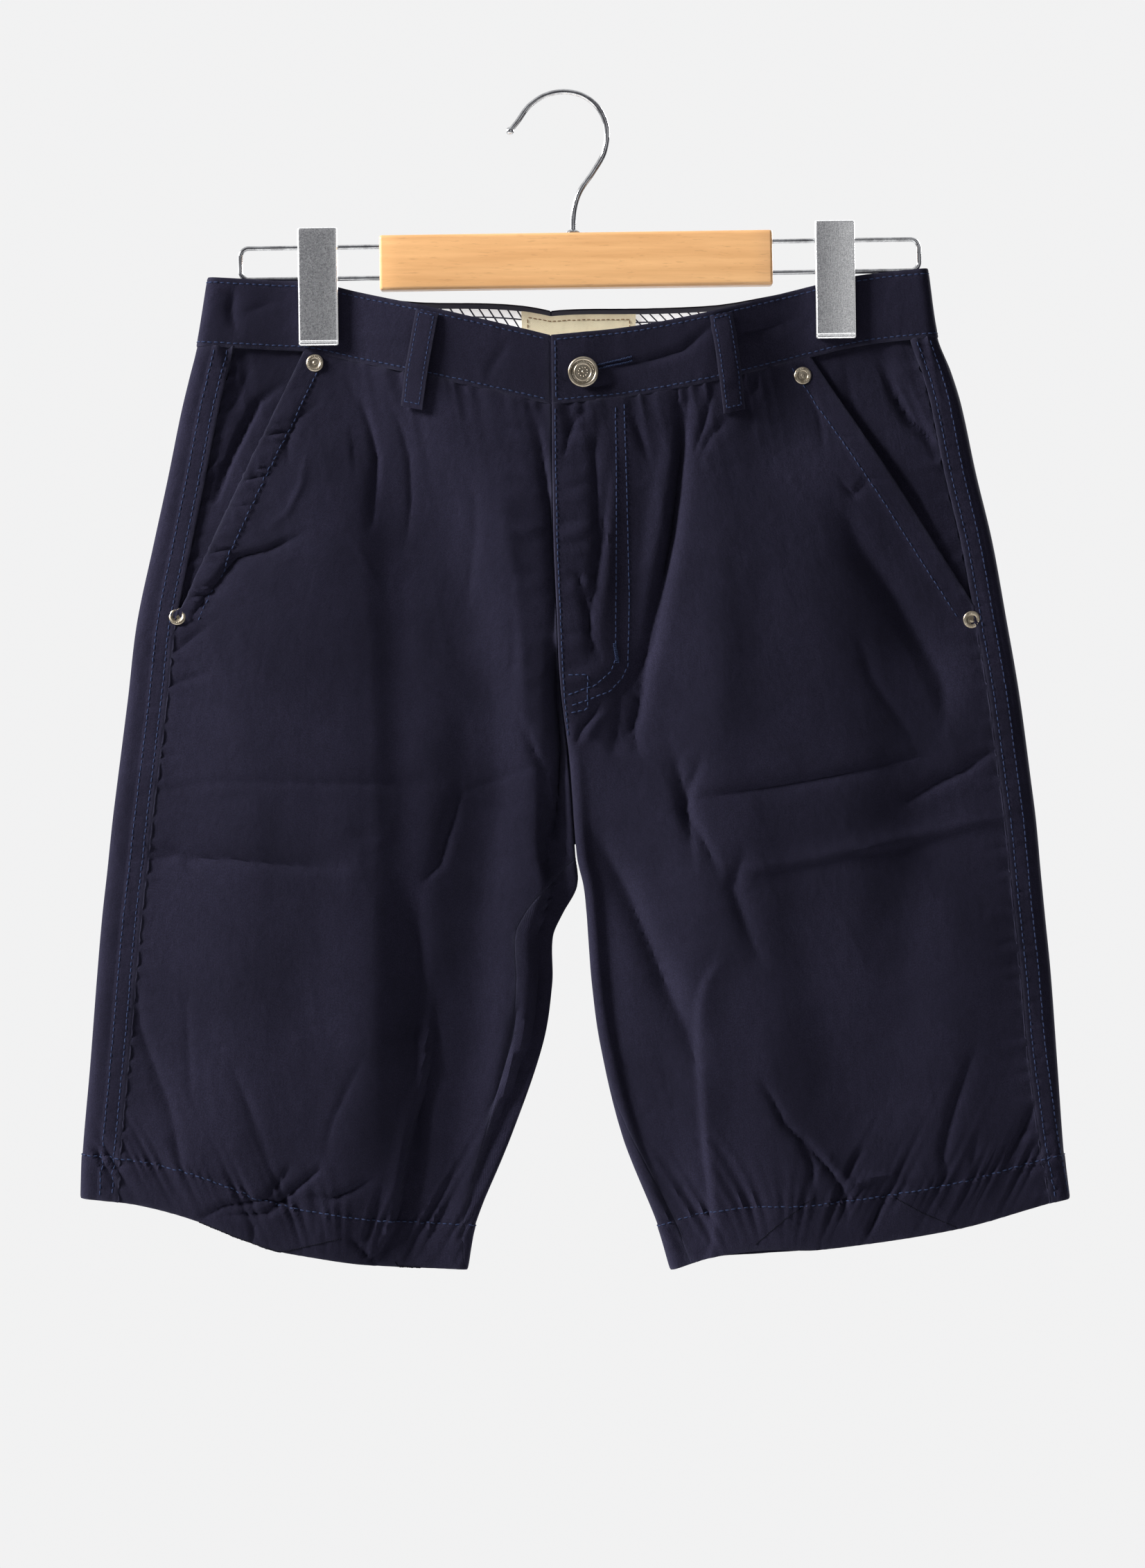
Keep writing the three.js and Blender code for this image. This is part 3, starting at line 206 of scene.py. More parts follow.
# Cloth and view, then for each crease its height, its half-widths on the left and right of travel,
# and the pixels of the view that it passes.
PICKED_CREASES = (
    ("front_right", UPPER_LEFT, (
        (-1.6, 4, 6, (745, 290), (790, 340), (820, 400), (850, 480), (870, 560), (865, 640), (855, 760)),
        (-0.9, 4, 5, (900, 380), (940, 480), (965, 560), (970, 680), (960, 800)),
        (-0.7, 4, 6, (1140, 620), (1160, 720), (1150, 860), (1130, 1000)),
        (-0.6, 5, 5, (1250, 880), (1270, 1050), (1260, 1200)),
        (-2.2, 3, 8, (1330, 440), (1350, 560), (1370, 700), (1385, 900), (1380, 1100)),
        (-0.9, 3, 4, (700, 410), (640, 450), (610, 520), (615, 580)),
        (0.7, 4, 4, (665, 560), (655, 640), (615, 720), (560, 770)),
        (-2.2, 8, 2.5, (640, 790), (560, 830), (470, 850), (430, 890), (390, 950), (340, 1020)),
        (-0.9, 3, 3, (390, 1050), (340, 1085), (290, 1120)),
        (-0.8, 3, 3, (400, 1180), (330, 1200), (280, 1215)),
    )),
    ("front_right", LOWER_LEFT, (
        (-0.9, 6, 3, (250, 118), (350, 108), (440, 96), (560, 98), (700, 102), (800, 103), (950, 102),
         (1060, 98)),
        (-0.5, 3, 3, (395, 130), (440, 150), (510, 138)),
        (-2.2, 14, 4.5, (205, 322), (300, 305), (330, 318), (450, 322), (600, 335), (760, 346)),
        (-2.0, 3, 8, (1108, 120), (1090, 200), (1070, 260), (1050, 330), (1000, 385)),
        (-0.6, 3, 3, (1110, 150), (1250, 170), (1345, 215)),
        (-0.5, 3, 3, (1100, 130), (1200, 92), (1330, 50)),
        (-2.2, 9, 14, (940, 380), (990, 560), (1012, 700), (1005, 850)),
        (2.0, 3, 12, (1020, 760), (1008, 900), (985, 1000), (962, 1080), (942, 1180), (925, 1290),
         (905, 1380), (862, 1455)),
        (-2.2, 10, 3, (1032, 760), (1022, 900), (1000, 1000), (975, 1080), (955, 1180), (938, 1290),
         (920, 1380), (880, 1455)),
        (-1.3, 6, 8, (180, 700), (190, 800), (230, 920), (270, 1020), (305, 1160)),
        (-0.5, 4, 4, (320, 700), (328, 880), (340, 1020)),
        (-1.0, 5, 6, (455, 910), (510, 1050), (565, 1180)),
        (-0.6, 4, 4, (820, 900), (745, 1070), (725, 1160)),
        (-1.0, 3, 3, (285, 1110), (300, 1160), (315, 1200)),
        (-1.9, 2.6, 3.4, (710, 1205), (640, 1262), (585, 1312), (545, 1330)),
        (-1.5, 3, 2.6, (845, 1240), (800, 1270), (740, 1292), (680, 1285)),
        (-1.2, 3, 3, (620, 1200), (590, 1250), (545, 1300)),
        (-1.3, 2.5, 3, (600, 1312), (560, 1335), (480, 1335), (420, 1342)),
        (-1.0, 2.5, 2.5, (880, 1262), (862, 1330), (840, 1400), (820, 1420)),
        (-0.9, 3, 3, (680, 1280), (690, 1330), (700, 1390)),
        (-0.8, 3, 3, (500, 1330), (520, 1380), (510, 1430)),
        (-1.6, 3, 6, (1282, 720), (1255, 850), (1215, 985), (1190, 1060)),
    )),
    ("front_right", UPPER_LEFT, (
        (-7.5, 4, 5, (1384, 1120), (1390, 1260), (1396, 1400), (1390, 1560), (1380, 1640)),
        (0.9, 8, 10, (1230, 700), (1260, 900), (1290, 1150), (1300, 1400)),
    )),
    ("front_left", LOWER_RIGHT, (
        (-1.6, 4, 7, (470, 140), (560, 125), (700, 103), (860, 75), (990, 45), (1110, 20)),
        (-2.4, 4, 8, (490, 40), (462, 100), (447, 170), (470, 215), (505, 270), (535, 340)),
        (-1.9, 4, 7, (1310, 5), (1230, 60), (1150, 100), (1060, 150)),
        (2.2, 5, 15, (1330, 188), (1180, 228), (1000, 268), (850, 300), (700, 330), (630, 345)),
        (-2.0, 8, 10, (610, 290), (575, 390), (615, 500), (650, 600)),
        (-4.5, 11, 15, (205, 260), (290, 420), (350, 560), (400, 680), (450, 790), (475, 880)),
        (1.2, 8, 4, (540, 600), (503, 650), (488, 710), (486, 790), (490, 900), (496, 1000), (504, 1100),
         (518, 1200), (528, 1290), (532, 1385), (516, 1425)),
        (-1.5, 3.5, 11, (520, 600), (485, 660), (472, 720), (472, 800), (476, 900), (483, 1000),
         (490, 1100), (504, 1200), (514, 1290), (518, 1385), (500, 1425)),
        (-1.8, 3, 4, (655, 930), (690, 985), (722, 1052), (772, 1098), (800, 1165), (806, 1245)),
        (-2.0, 3, 4, (768, 1085), (812, 1140), (862, 1190), (888, 1245), (893, 1300)),
        (1.3, 3, 3, (830, 1130), (880, 1190), (920, 1222), (960, 1200), (1010, 1190), (1070, 1215)),
        (-1.5, 3, 3, (1000, 1240), (978, 1305), (955, 1360)),
        (-1.6, 5, 4, (1245, 860), (1205, 980), (1178, 1060), (1166, 1130), (1172, 1200)),
        (-0.8, 3, 3, (1262, 1080), (1245, 1180)),
        (-1.9, 4, 3, (1420, 1000), (1392, 1068), (1345, 1155)),
        (-0.9, 4, 3, (940, 1120), (915, 1160), (900, 1200)),
    )),
    ("front_left", UPPER_RIGHT, (
        (-6.0, 5, 12, (412, 395), (415, 500), (402, 620), (390, 740), (366, 850), (342, 960), (320, 1080),
         (300, 1200), (282, 1260)),
        (-1.3, 3, 4, (498, 345), (490, 400), (470, 460), (448, 530)),
        (-1.0, 4, 4, (540, 425), (490, 480), (462, 545)),
        (-1.0, 3, 4, (275, 395), (300, 460), (325, 520)),
        (-1.8, 5, 5, (192, 440), (182, 520), (186, 640), (190, 760), (180, 900), (166, 1000),
         (175, 1070)),
        (0.9, 5, 5, (218, 500), (222, 700), (216, 880), (204, 960)),
        (-1.1, 3, 4, (155, 400), (120, 450), (100, 530)),
        (-1.5, 2.2, 2.2, (132, 1300), (148, 1262), (180, 1225), (198, 1190)),
        (1.2, 2.5, 2.5, (160, 1290), (185, 1245), (215, 1215)),
        (-1.1, 4, 4, (250, 1165), (244, 1260), (234, 1330)),
        (-1.0, 4, 4, (305, 1190), (290, 1260), (300, 1330)),
        (-3.0, 12, 15, (860, 690), (900, 780), (960, 860), (1020, 960), (1080, 1060), (1120, 1140),
         (1128, 1220)),
        (-0.9, 3, 4, (840, 590), (880, 630), (925, 585)),
        (-0.9, 5, 6, (895, 1020), (930, 1130), (1000, 1230), (1045, 1300)),
        (-1.0, 5, 5, (625, 290), (600, 370), (612, 440)),
        (-1.0, 4, 5, (760, 330), (790, 420), (800, 500)),
    )),
    ("facing_right", UPPER_LEFT, (
        (-2.4, 3, 5, (600, 345), (530, 400), (490, 480), (440, 580), (400, 690)),
        (-1.0, 3, 3, (500, 300), (470, 380), (440, 430)),
        (0.8, 3, 3, (450, 560), (385, 592)),
    )),
    ("facing_left", UPPER_RIGHT, (
        (-1.9, 4, 4, (858, 225), (868, 330), (882, 410)),
        (-2.6, 5, 6, (940, 235), (990, 350), (1040, 430), (1105, 495)),
        (-2.0, 4, 8, (880, 400), (960, 510), (1050, 640), (1130, 790)),
        (-0.9, 3, 3, (1020, 330), (1060, 420), (1100, 520)),
    )),
    ("band_right", UPPER_LEFT, (
        (-1.5, 7, 6, (455, 80), (448, 140), (462, 200)),
        (-1.3, 5, 5, (500, 140), (560, 115), (630, 100)),
        (0.9, 4, 4, (770, 185), (860, 205), (950, 225)),
        (-0.7, 4, 4, (1240, 240), (1200, 300), (1190, 340)),
    )),
    ("band_left", UPPER_RIGHT, (
        (-1.5, 5, 5, (245, 285), (330, 270), (420, 240), (495, 180)),
        (-1.3, 4, 4, (570, 195), (650, 178), (760, 135)),
        (0.8, 4, 4, (600, 225), (700, 200), (770, 180)),
        (-0.8, 4, 4, (95, 320), (180, 345), (240, 330)),
    )),
)

# Cloth, then for each crease its height, its half-widths, and its path in millimetres.
DRAWN_CREASES = (
    ("front_right", (
        (-5.6, 38, 56, (-88, -196), (-66, -285), (-46, -350), (-42, -410), (-52, -480), (-58, -560),
         (-70, -640), (-80, -710)),
        (2.2, 22, 60, (-124, -230), (-116, -320), (-112, -430), (-112, -540), (-112, -660)),
        (-2.0, 8, 14, (-86, -470), (-88, -540), (-86, -610), (-90, -690)),
    )),
    ("front_left", (
        (-2.6, 5.5, 9, (73, -180), (69, -235), (61, -285), (53, -326), (38, -352)),
        (2.4, 3, 15, (66, -186), (63, -240), (57, -290), (49, -333), (41, -372)),
        (-1.6, 3, 3, (8, -282), (13, -305), (17, -325), (21, -336)),
        (-1.4, 3, 4, (27, -215), (25, -243), (20, -293)),
        (2.4, 120, 44, (114, -195), (110, -290), (92, -380), (80, -450), (92, -560), (112, -690)),
        (-2.4, 50, 50, (196, -250), (206, -340), (214, -430), (196, -520), (180, -640)),
        (-2.6, 5, 12, (66, -392), (72, -418), (76, -450)),
    )),
    ("front_right", (
        (-1.6, 3, 3, (-214, -664), (-200, -656), (-178, -653), (-160, -654)),
        (-1.5, 2.5, 2.5, (-127, -674), (-120, -682), (-110, -692)),
        (1.5, 5, 18, (-79, -520), (-80, -550), (-86, -590), (-94, -622), (-100, -648), (-104, -668)),
        (-3.0, 4, 9, (-4, -330), (-1, -375), (1, -420), (2, -455)),
        (-1.6, 3, 6, (-24, -372), (-12, -400), (-6, -440)),
    )),
    ("back_right", (
        (-1.8, 4, 7, (-120, -190), (-112, -230), (-108, -275), (-112, -330)),
        (-1.5, 10, 5, (-250, -448), (-190, -452), (-130, -444), (-70, -452)),
        (-1.2, 4, 8, (-240, -400), (-180, -396), (-120, -404)),
        (1.6, 5, 12, (-150, -520), (-146, -580), (-152, -640), (-160, -676)),
        (-1.6, 4, 8, (-20, -380), (-50, -410), (-90, -425)),
        (-1.4, 4, 7, (-18, -400), (-40, -440), (-75, -470)),
        (-1.0, 5, 5, (-200, -240), (-190, -290), (-196, -350)),
        (-1.2, 3, 4, (-90, -640), (-98, -665), (-94, -685)),
        (-1.1, 3, 4, (-210, -620), (-200, -645), (-206, -662)),
    )),
    ("back_left", (
        (-1.9, 5, 8, (110, -190), (118, -240), (114, -300), (122, -350)),
        (-1.6, 5, 12, (250, -430), (190, -440), (130, -452), (80, -448)),
        (-1.1, 4, 8, (235, -392), (180, -402), (120, -404)),
        (1.6, 12, 5, (150, -530), (154, -590), (150, -640), (156, -674)),
        (-1.6, 8, 4, (34, -384), (60, -412), (98, -430)),
        (-1.3, 7, 4, (30, -404), (52, -440), (88, -468)),
        (-1.0, 5, 5, (204, -250), (196, -300), (204, -360)),
        (-1.2, 4, 3, (100, -640), (106, -664), (101, -682)),
        (-1.1, 4, 3, (216, -618), (224, -642), (218, -660)),
    )),
)


def all_creases():
    """The picked creases with their paths turned to whole millimetres from the hook, and the drawn."""
    found = []
    for cloth, (left, top, wide, tall), group in PICKED_CREASES:
        for height, near, far, *picks in group:
            path = [(round((left + x / wide - HOOK_PIXEL[0]) * PIXEL_SIZE),
                     round(-(top + y / tall - HOOK_PIXEL[1]) * PIXEL_SIZE)) for x, y in picks]
            found.append((cloth, height, near, far, np.array(path, float)))
    for cloth, group in DRAWN_CREASES:
        found += [(cloth, height, near, far, np.array(path, float)) for height, near, far, *path in group]
    return found


CREASES = all_creases()

# Lines drawn on the front, as x and z: the fly's two curved rows, its box, and the hem's seams, whose dark
# lines are painted shade.
FLY_STITCH = (
    ((30.5, -186), (31, -230), (30.6, -290), (30.4, -334), (27.5, -342), (17.5, -350.4), (3, -355.6)),
    ((35.5, -184), (37.2, -240), (38.6, -301), (37.6, -338), (34, -346), (27, -353.4), (9, -360.2),
     (3, -362.4)),
)
FLY_BOX = ((2.5, -344), (14, -344), (14, -364), (4, -366))
FLY_TACK_X = 30.6
FLY_TACK_DROP = 150.0
HEM_SEAM = {
    "right": (((-131, -675.5), (-168, -684), (-214, -667)), ((-100, -690), (-85, -711))),
    "left": (((147.6, -651), (130, -664), (112.5, -679.5)), ((193, -650.5), (210, -660), (231, -669))),
}


def smoothstep(low, high, v):
    """Eases from 0 at low to 1 at high."""
    s = np.clip((v - low) / (high - low), 0, 1)
    return s * s * (3 - 2 * s)


def mix(a, b, share):
    return a + (b - a) * share


def through(rows, at):
    """A smooth cubic through rows of (place, value), with the slope at each row set by its neighbours."""
    x, y = rows[:, 0], rows[:, 1]
    places = np.arange(len(x))
    low, high = np.maximum(places - 1, 0), np.minimum(places + 1, len(x) - 1)
    slope = (y[high] - y[low]) / (x[high] - x[low])
    at = np.clip(at, x[0], x[-1])
    i = np.clip(np.searchsorted(x, at, side="left") - 1, 0, len(x) - 2)
    step = x[i + 1] - x[i]
    s = (at - x[i]) / step
    hold = 2 * s**3 - 3 * s**2 + 1
    turn = (s**3 - 2 * s**2 + s) * step * slope[i] + (s**3 - s**2) * step * slope[i + 1]
    return y[i] * hold + y[i + 1] * (1 - hold) + turn


def wave(s, length, seed):
    """An uneven wave of about unit height: three sines of unlike lengths, swelling and fading."""
    rng = np.random.default_rng(seed)
    phase = rng.uniform(0, 2 * math.pi, 5)
    total = 0.55 * np.sin(2 * math.pi * s / length + phase[0])
    total += 0.35 * np.sin(2 * math.pi * s / (length * 0.63) + phase[1])
    total += 0.35 * np.sin(2 * math.pi * s / (length * 1.71) + phase[2])
    swell = 0.75 + 0.25 * np.sin(2 * math.pi * s / (length * 5.3) + phase[3])
    return total * swell


def ruck(s, length, seed):
    """A crimped wave: sharp crests with round hollows between them, uneven in spacing and height."""
    return 0.5 - 1.1 * np.abs(wave(s, 2 * length, seed)) ** 0.8


def mottle(x, z, cell, seed):
    """Smooth noise between -1 and 1: random heights on a lattice of cells, eased between them."""
    rng = np.random.default_rng(seed)
    lattice = rng.uniform(-1, 1, (257, 257))
    u, v = x / cell + 128.0, z / cell + 128.0
    i, j = np.floor(u).astype(int), np.floor(v).astype(int)
    fu, fv = u - i, v - j
    fu, fv = fu * fu * (3 - 2 * fu), fv * fv * (3 - 2 * fv)
    i, j = i % 256, j % 256
    near = mix(lattice[i, j], lattice[i + 1, j], fu)
    far = mix(lattice[i, j + 1], lattice[i + 1, j + 1], fu)
    return mix(near, far, fv)


def row_sizes(side, drop):
    """A leg's row: where its folds stand, and how far it is round each face. Above the crotch the
    inner fold opens out flat, since the two halves meet there."""
    openness = 1 - smoothstep(150, 262, drop)
    gap = (0.5 + 1.2 * np.sqrt(1 - openness)) / 2
    out = through(OUTLINE[:, [0, OUT_COLUMN[side]]], drop)
    inner = through(OUTLINE[:, [0, IN_COLUMN[side]]], drop) + (gap if side == "left" else -gap)
    span = np.abs(out - inner)
    inner_arc = mix(FOLD_ARC, RADIUS, openness)
    total = span - 2 * RADIUS + FOLD_ARC + inner_arc
    return SimpleNamespace(openness=openness, out=out, inner=inner, span=span, inner_arc=inner_arc,
                           total=total)


def round_to(inset):
    """The distance round from the side fold to a place that far in from it."""
    return FOLD_ARC - RADIUS + inset


def side_seam(side, drop):
    return round_to(through(SIDE_SEAM[side], drop))


def inseam(side, drop):
    inset = through(INSEAM[side], drop)
    bent = np.where(inset <= RADIUS, inset / RADIUS * FOLD_ARC, round_to(inset))
    return np.where(drop <= CROTCH_DROP, 0.0, bent)


def pocket_x(side, drop):
    """The pocket's edge is a straight line across and down."""
    top, bottom = POCKET_EDGE[side]
    return mix(top, bottom, drop / POCKET_DROP)


def pocket_round(side, drop):
    return round_to(np.abs(row_sizes(side, drop).out - pocket_x(side, drop)))


def fold_height(folds, x, z):
    """Each fold is a bowed line with a bell-shaped section, wider on one side, that fades at its ends."""
    total = np.zeros_like(x)
    for x0, z0, x1, z1, bow, height, near, far in folds:
        length = math.hypot(x1 - x0, z1 - z0)
        ux, uz = (x1 - x0) / length, (z1 - z0) / length
        share = np.clip(((x - x0) * ux + (z - z0) * uz) / length, 0, 1)
        hump = 4 * share * (1 - share)
        off = (z - z0) * ux - (x - x0) * uz - bow * hump
        width = np.where(off > 0, near, far)
        total += height * np.exp(-((off / width) ** 2)) * hump**0.6
    return total


def crease_height(key, x, z, scale):
    """Each crease follows its path: the nearest place on it gives the distance off it, and the
    height is a bell of that distance with one width on each side, tapering towards both ends. The
    narrower the crease, the sharper its top."""
    total = np.zeros_like(x)
    for name, height, near, far, path in CREASES:
        if name != key:
            continue
        reach = 3 * max(near, far)
        inside = (x > path[:, 0].min() - reach) & (x < path[:, 0].max() + reach)
        inside &= (z > path[:, 1].min() - reach) & (z < path[:, 1].max() + reach)
        if not inside.any():
            continue
        px, pz = x[inside], z[inside]
        steps = np.hypot(*np.diff(path, axis=0).T)
        before = np.concatenate([[0], np.cumsum(steps)])
        best = np.full(px.shape, 1e9)
        off = np.zeros_like(px)
        place = np.zeros_like(px)
        for k, length in enumerate(steps):
            (ax, az), (bx, bz) = path[k], path[k + 1]
            ux, uz = (bx - ax) / length, (bz - az) / length
            s = np.clip((px - ax) * ux + (pz - az) * uz, 0, length)
            away = np.hypot(px - ax - ux * s, pz - az - uz * s)
            closer = away < best
            best = np.where(closer, away, best)
            hand = np.sign((pz - az) * ux - (px - ax) * uz)
            off = np.where(closer, away * hand, off)
            place = np.where(closer, before[k] + s, place)
        share = place / before[-1]
        taper = np.sin(math.pi * np.clip(share * 0.94 + 0.03, 0, 1)) ** 0.55
        width = CREASE_WIDTH * np.where(off > 0, near, far)
        round_top = float(np.interp(near + far, *CREASE_TOPS))
        total[inside] += scale * height * np.exp(-(np.abs(off / width) ** round_top)) * taper
    return total


def level(side, face, across, drop):
    """The height of a place: between the seam's and the hem's levels by its drop. The back rises
    towards its centre at the waist and falls a little lower at the hem."""
    seam = through(SEAM_LEVEL[side], across)
    z = np.where(drop <= 0, seam - drop, mix(seam, through(HEM_LEVEL[side], across), drop / LEG_DROP))
    if face < 0:
        return z
    hem_fall, hem_at = BACK_HEM[side]
    rise = 17 * smoothstep(BACK_RISE_FROM[side], 1, across) * (1 - smoothstep(0, 220, drop))
    hump = np.exp(-(((across - hem_at) / 0.16) ** 2)) * across * (1 - across) * 4
    return z + rise - hem_fall * hump * smoothstep(400, LEG_DROP, drop)


def pinch(x, drop):
    """1 where a clip grips the cloth, fading over a hand's breadth to the sides and down."""
    near = np.minimum(*(np.abs(x - at) for at in CLIP_X.values()))
    return (1 - smoothstep(0, 95, drop)) * (1 - smoothstep(15, 78, near))


def relief(part, side, face, along, drop, x, z, sizes, cloth):
    """The small unevenness of the cloth: listed creases, a soft mottle, and puckers that start
    at each seam as an uneven wave along it and die away from it."""
    key = part if part != "panel" else ("front" if face < 0 else "back")
    h = crease_height(f"{key}_{side}", x, z, cloth.crease_scale)
    seed = 10 if face < 0 else 30
    if part == "band":
        h += 0.22 * wave(x, 13, seed) * np.exp(-(((drop + 3) / 7) ** 2))
        h += 0.16 * wave(x, 11, seed + 1) * np.exp(-(((drop + 38) / 5) ** 2))
        return h + 0.22 * mottle(x, z, 31, seed)
    soft = 0.42 * mottle(x, z * 0.7, 37, seed) + 0.16 * mottle(x, z * 0.6, 12, seed + 1)
    soft += 0.05 * mottle(x, z, 4.5, seed + 2)
    lean_x = x + 0.35 * z + 9 * mottle(x, z, 46, seed + 4)
    ridge = 1 - np.abs(mottle(lean_x, z * 0.45, 19, seed + 3))
    soft += 0.38 * ridge**7 * (0.5 + 0.5 * mottle(x, z, 55, seed + 5))
    waist = WAIST_RUCK
    pucker = waist.height * ruck(x - 0.2 * drop, waist.length, seed + 2) * np.exp(-np.abs(drop) / waist.reach)
    above = HEM_DROP - drop
    lean = x - 0.6 * above * np.sign(x) * np.tanh((np.abs(x) - 130) / 30)
    hem = HEM_RUCK
    reach = np.where(above > 0, hem.above + hem.uneven * mottle(lean, 0 * x, 14, seed + 9), hem.below)
    pucker += hem.height * ruck(lean, hem.length, seed + 3) * np.exp(-((np.abs(above) / reach) ** 1.3))
    from_side = along - side_seam(side, drop)
    if face < 0:
        strip = 0.2 * wave(drop, 6.5, seed + 4) * (from_side < 0) * np.exp(-(((from_side + 7) / 5) ** 2))
        beside = np.where(from_side > 0, np.exp(-np.abs(from_side) / 8), 0)
        pucker += strip + 0.34 * wave(drop, 11, seed + 5) * beside
        off = (x - pocket_x(side, drop)) * (0.9 if side == "right" else -0.9)
        along_pocket = np.where((drop > 4) & (drop < 168), 1.0, 0.0)
        if part == "panel":
            pocket = POCKET_RUCK
            edge = along_pocket * pocket.height[side] * ruck(drop + 0.3 * off, pocket.length, seed + 6)
            pucker += edge * bell(off, pocket.inwards, pocket.reach)
            inner = sizes.total - along
            fade = 1 - smoothstep(150, 215, drop)
            pucker += 0.4 * wave(drop, 17, seed + 7) * np.exp(-(((inner - 14) / 9) ** 2)) * fade
            pucker += 0.22 * wave(drop, 9, seed + 8) * np.exp(-inner / 6) * smoothstep(300, 360, drop)
    return h + cloth.pucker_scale * pucker + soft


def face_point(part, side, face, along, drop, cloth):
    """A place on the cloth's middle surface. Each fold is a quarter ellipse; between them the face
    is a plateau that swells to the row's depth, is pinched under the clips, and takes the folds, the
    groove beside the inside leg seam, and the relief."""
    n = row_sizes(side, drop)
    left = n.total - along
    turn = math.pi / 2 * np.clip(along / FOLD_ARC, 0, 1)
    d_out = np.where(along < FOLD_ARC, RADIUS * (1 - np.cos(turn)), RADIUS + along - FOLD_ARC)
    f_out = np.sin(turn)
    share = np.clip(left / n.inner_arc, 0, 1)
    bent = RADIUS * mix(1 - np.cos(math.pi / 2 * share), share, n.openness)
    d_in = np.where(left < n.inner_arc, bent, RADIUS + left - n.inner_arc)
    f_in = mix(np.sin(math.pi / 2 * share), 1, n.openness)
    across = np.where(along < n.total / 2, d_out / n.span, 1 - d_in / n.span)
    x = mix(n.out, n.inner, across)
    z = level(side, face, across, drop)
    inside = mix(smoothstep(0, LENS, 1 - across), 1, n.openness)
    lens = smoothstep(0, LENS, across) * inside
    full = through(FRONT_DEPTH if face < 0 else BACK_DEPTH, drop)
    held = pinch(x, drop)
    depth = mix(EDGE_DEPTH * f_out * f_in + (full - EDGE_DEPTH) * lens, CLIP_HALF, held)
    free = f_out * f_in * (1 - held)
    depth += free * smoothstep(0, 45, drop) * fold_height(FRONT_FOLDS if face < 0 else BACK_FOLDS, x, z)
    if face < 0:
        groove = INSEAM_GROOVE[side]
        away = RADIUS + left - n.inner_arc - through(groove[:, :2], drop)
        wide = np.where(away > 0, *GROOVE_WIDTH[side])
        depth -= through(groove[:, ::2], drop) * np.exp(-(np.abs(away / wide) ** 1.5)) * f_in
    depth += f_out * f_in * (1 - 0.92 * held**3) * relief(part, side, face, along, drop, x, z, n, cloth)
    return np.stack([x, face * depth, z], -1)


def cloth_point(part, side, place, drop, cloth):
    """place counts round from the side fold: negative on the front, positive on the back, and past
    the inner fold it comes round to the front again."""
    place, drop = np.broadcast_arrays(np.asarray(place, float), np.asarray(drop, float))
    total = row_sizes(side, drop).total
    back = (place > 0) & (place <= total)
    along = np.where(place > total, 2 * total - place, np.abs(place))
    out = np.empty(place.shape + (3,))
    for face, mask in ((-1, ~back), (1, back)):
        if mask.any():
            out[mask] = face_point(part, side, face, along[mask], drop[mask], cloth)
    return out


def unit(v):
    return v / np.maximum(np.linalg.norm(v, axis=-1, keepdims=True), 1e-9)


def grid_normals(points, side):
    """The cross product of a grid's two directions, pointing out of the garment."""
    across = np.gradient(points, axis=1)
    down = np.gradient(points, axis=0)
    normal = unit(np.cross(across, down))
    return normal if side == "right" else -normal


def line_normals(part, side, place, drop, cloth):
    """The cloth's outward normal at single places, from small steps round and down from each."""
    total = row_sizes(side, drop).total
    back = (place > 0) & (place <= total)
    inner = np.where(back, np.minimum(place + 1, total), place + 1)
    low = np.where(place < 0, np.maximum(place - 1, -total), place - 1)
    across = cloth_point(part, side, inner, drop, cloth) - cloth_point(part, side, low, drop, cloth)
    ends = []
    for step in (-1, 1):
        stretch = row_sizes(side, drop + step).total - total
        moved = place + np.sign(place) * np.where(np.abs(place) > total / 2, stretch, 0)
        ends.append(cloth_point(part, side, moved, drop + step, cloth))
    down = ends[1] - ends[0]
    normal = unit(np.cross(across, down))
    return normal if side == "right" else -normal


def bell(v, at, width):
    """A bell curve of height 1."""
    return np.exp(-(((v - at) / width) ** 2))


def outer_lift(part, side, place, drop):
    """What the outer face stands proud by: the fly, the felled side seam, the pocket's and the leg's
    turned hems, less the small ditch that each row of stitching pulls in."""
    n = row_sizes(side, drop)
    lift = np.zeros(np.broadcast(place, drop).shape)
    if part == "band":
        ditch = 0.22 * sum(bell(drop, row, 0.8) for row in BAND_STITCHES)
        if side == "left":
            lift = lift + FLY_LIFT * (1 - smoothstep(19, FLY_WIDTH, n.total + place)) * (place < 0)
        return lift - ditch
    if part != "panel":
        return lift
    lift = lift + 0.5 * smoothstep(HEM_DROP - 1.2, HEM_DROP, drop) - 0.25 * bell(drop, HEM_DROP, 0.9)
    front = (place < 0) & (place > -n.total)
    from_seam = -place - side_seam(side, drop)
    strip = (place < 0.5) & (from_seam <= 0)
    felled = FELLED_LIFT * (1 - smoothstep(FELLED_WIDTH - 0.6, FELLED_WIDTH + 0.8, -from_seam))
    felled = felled - 0.22 * sum(bell(-from_seam, row, 0.8) for row in SIDE_STITCHES)
    lift = lift + np.where(strip, felled, 0)
    off = (-place - pocket_round(side, drop)) * 0.9
    edge = 0.5 * (1 - smoothstep(12.4, 13.6, off)) - 0.25 * bell(off, POCKET_STITCHES, 0.8)
    lift = lift + np.where(front & (drop < POCKET_DROP + 4) & (from_seam > 0), edge, 0)
    if side == "left":
        fly = 1 - smoothstep(19, FLY_WIDTH, n.total + place)
        lift = lift + np.where(front, FLY_LIFT * fly * (1 - smoothstep(FLY_DROP - 30, FLY_DROP, drop)), 0)
    return lift


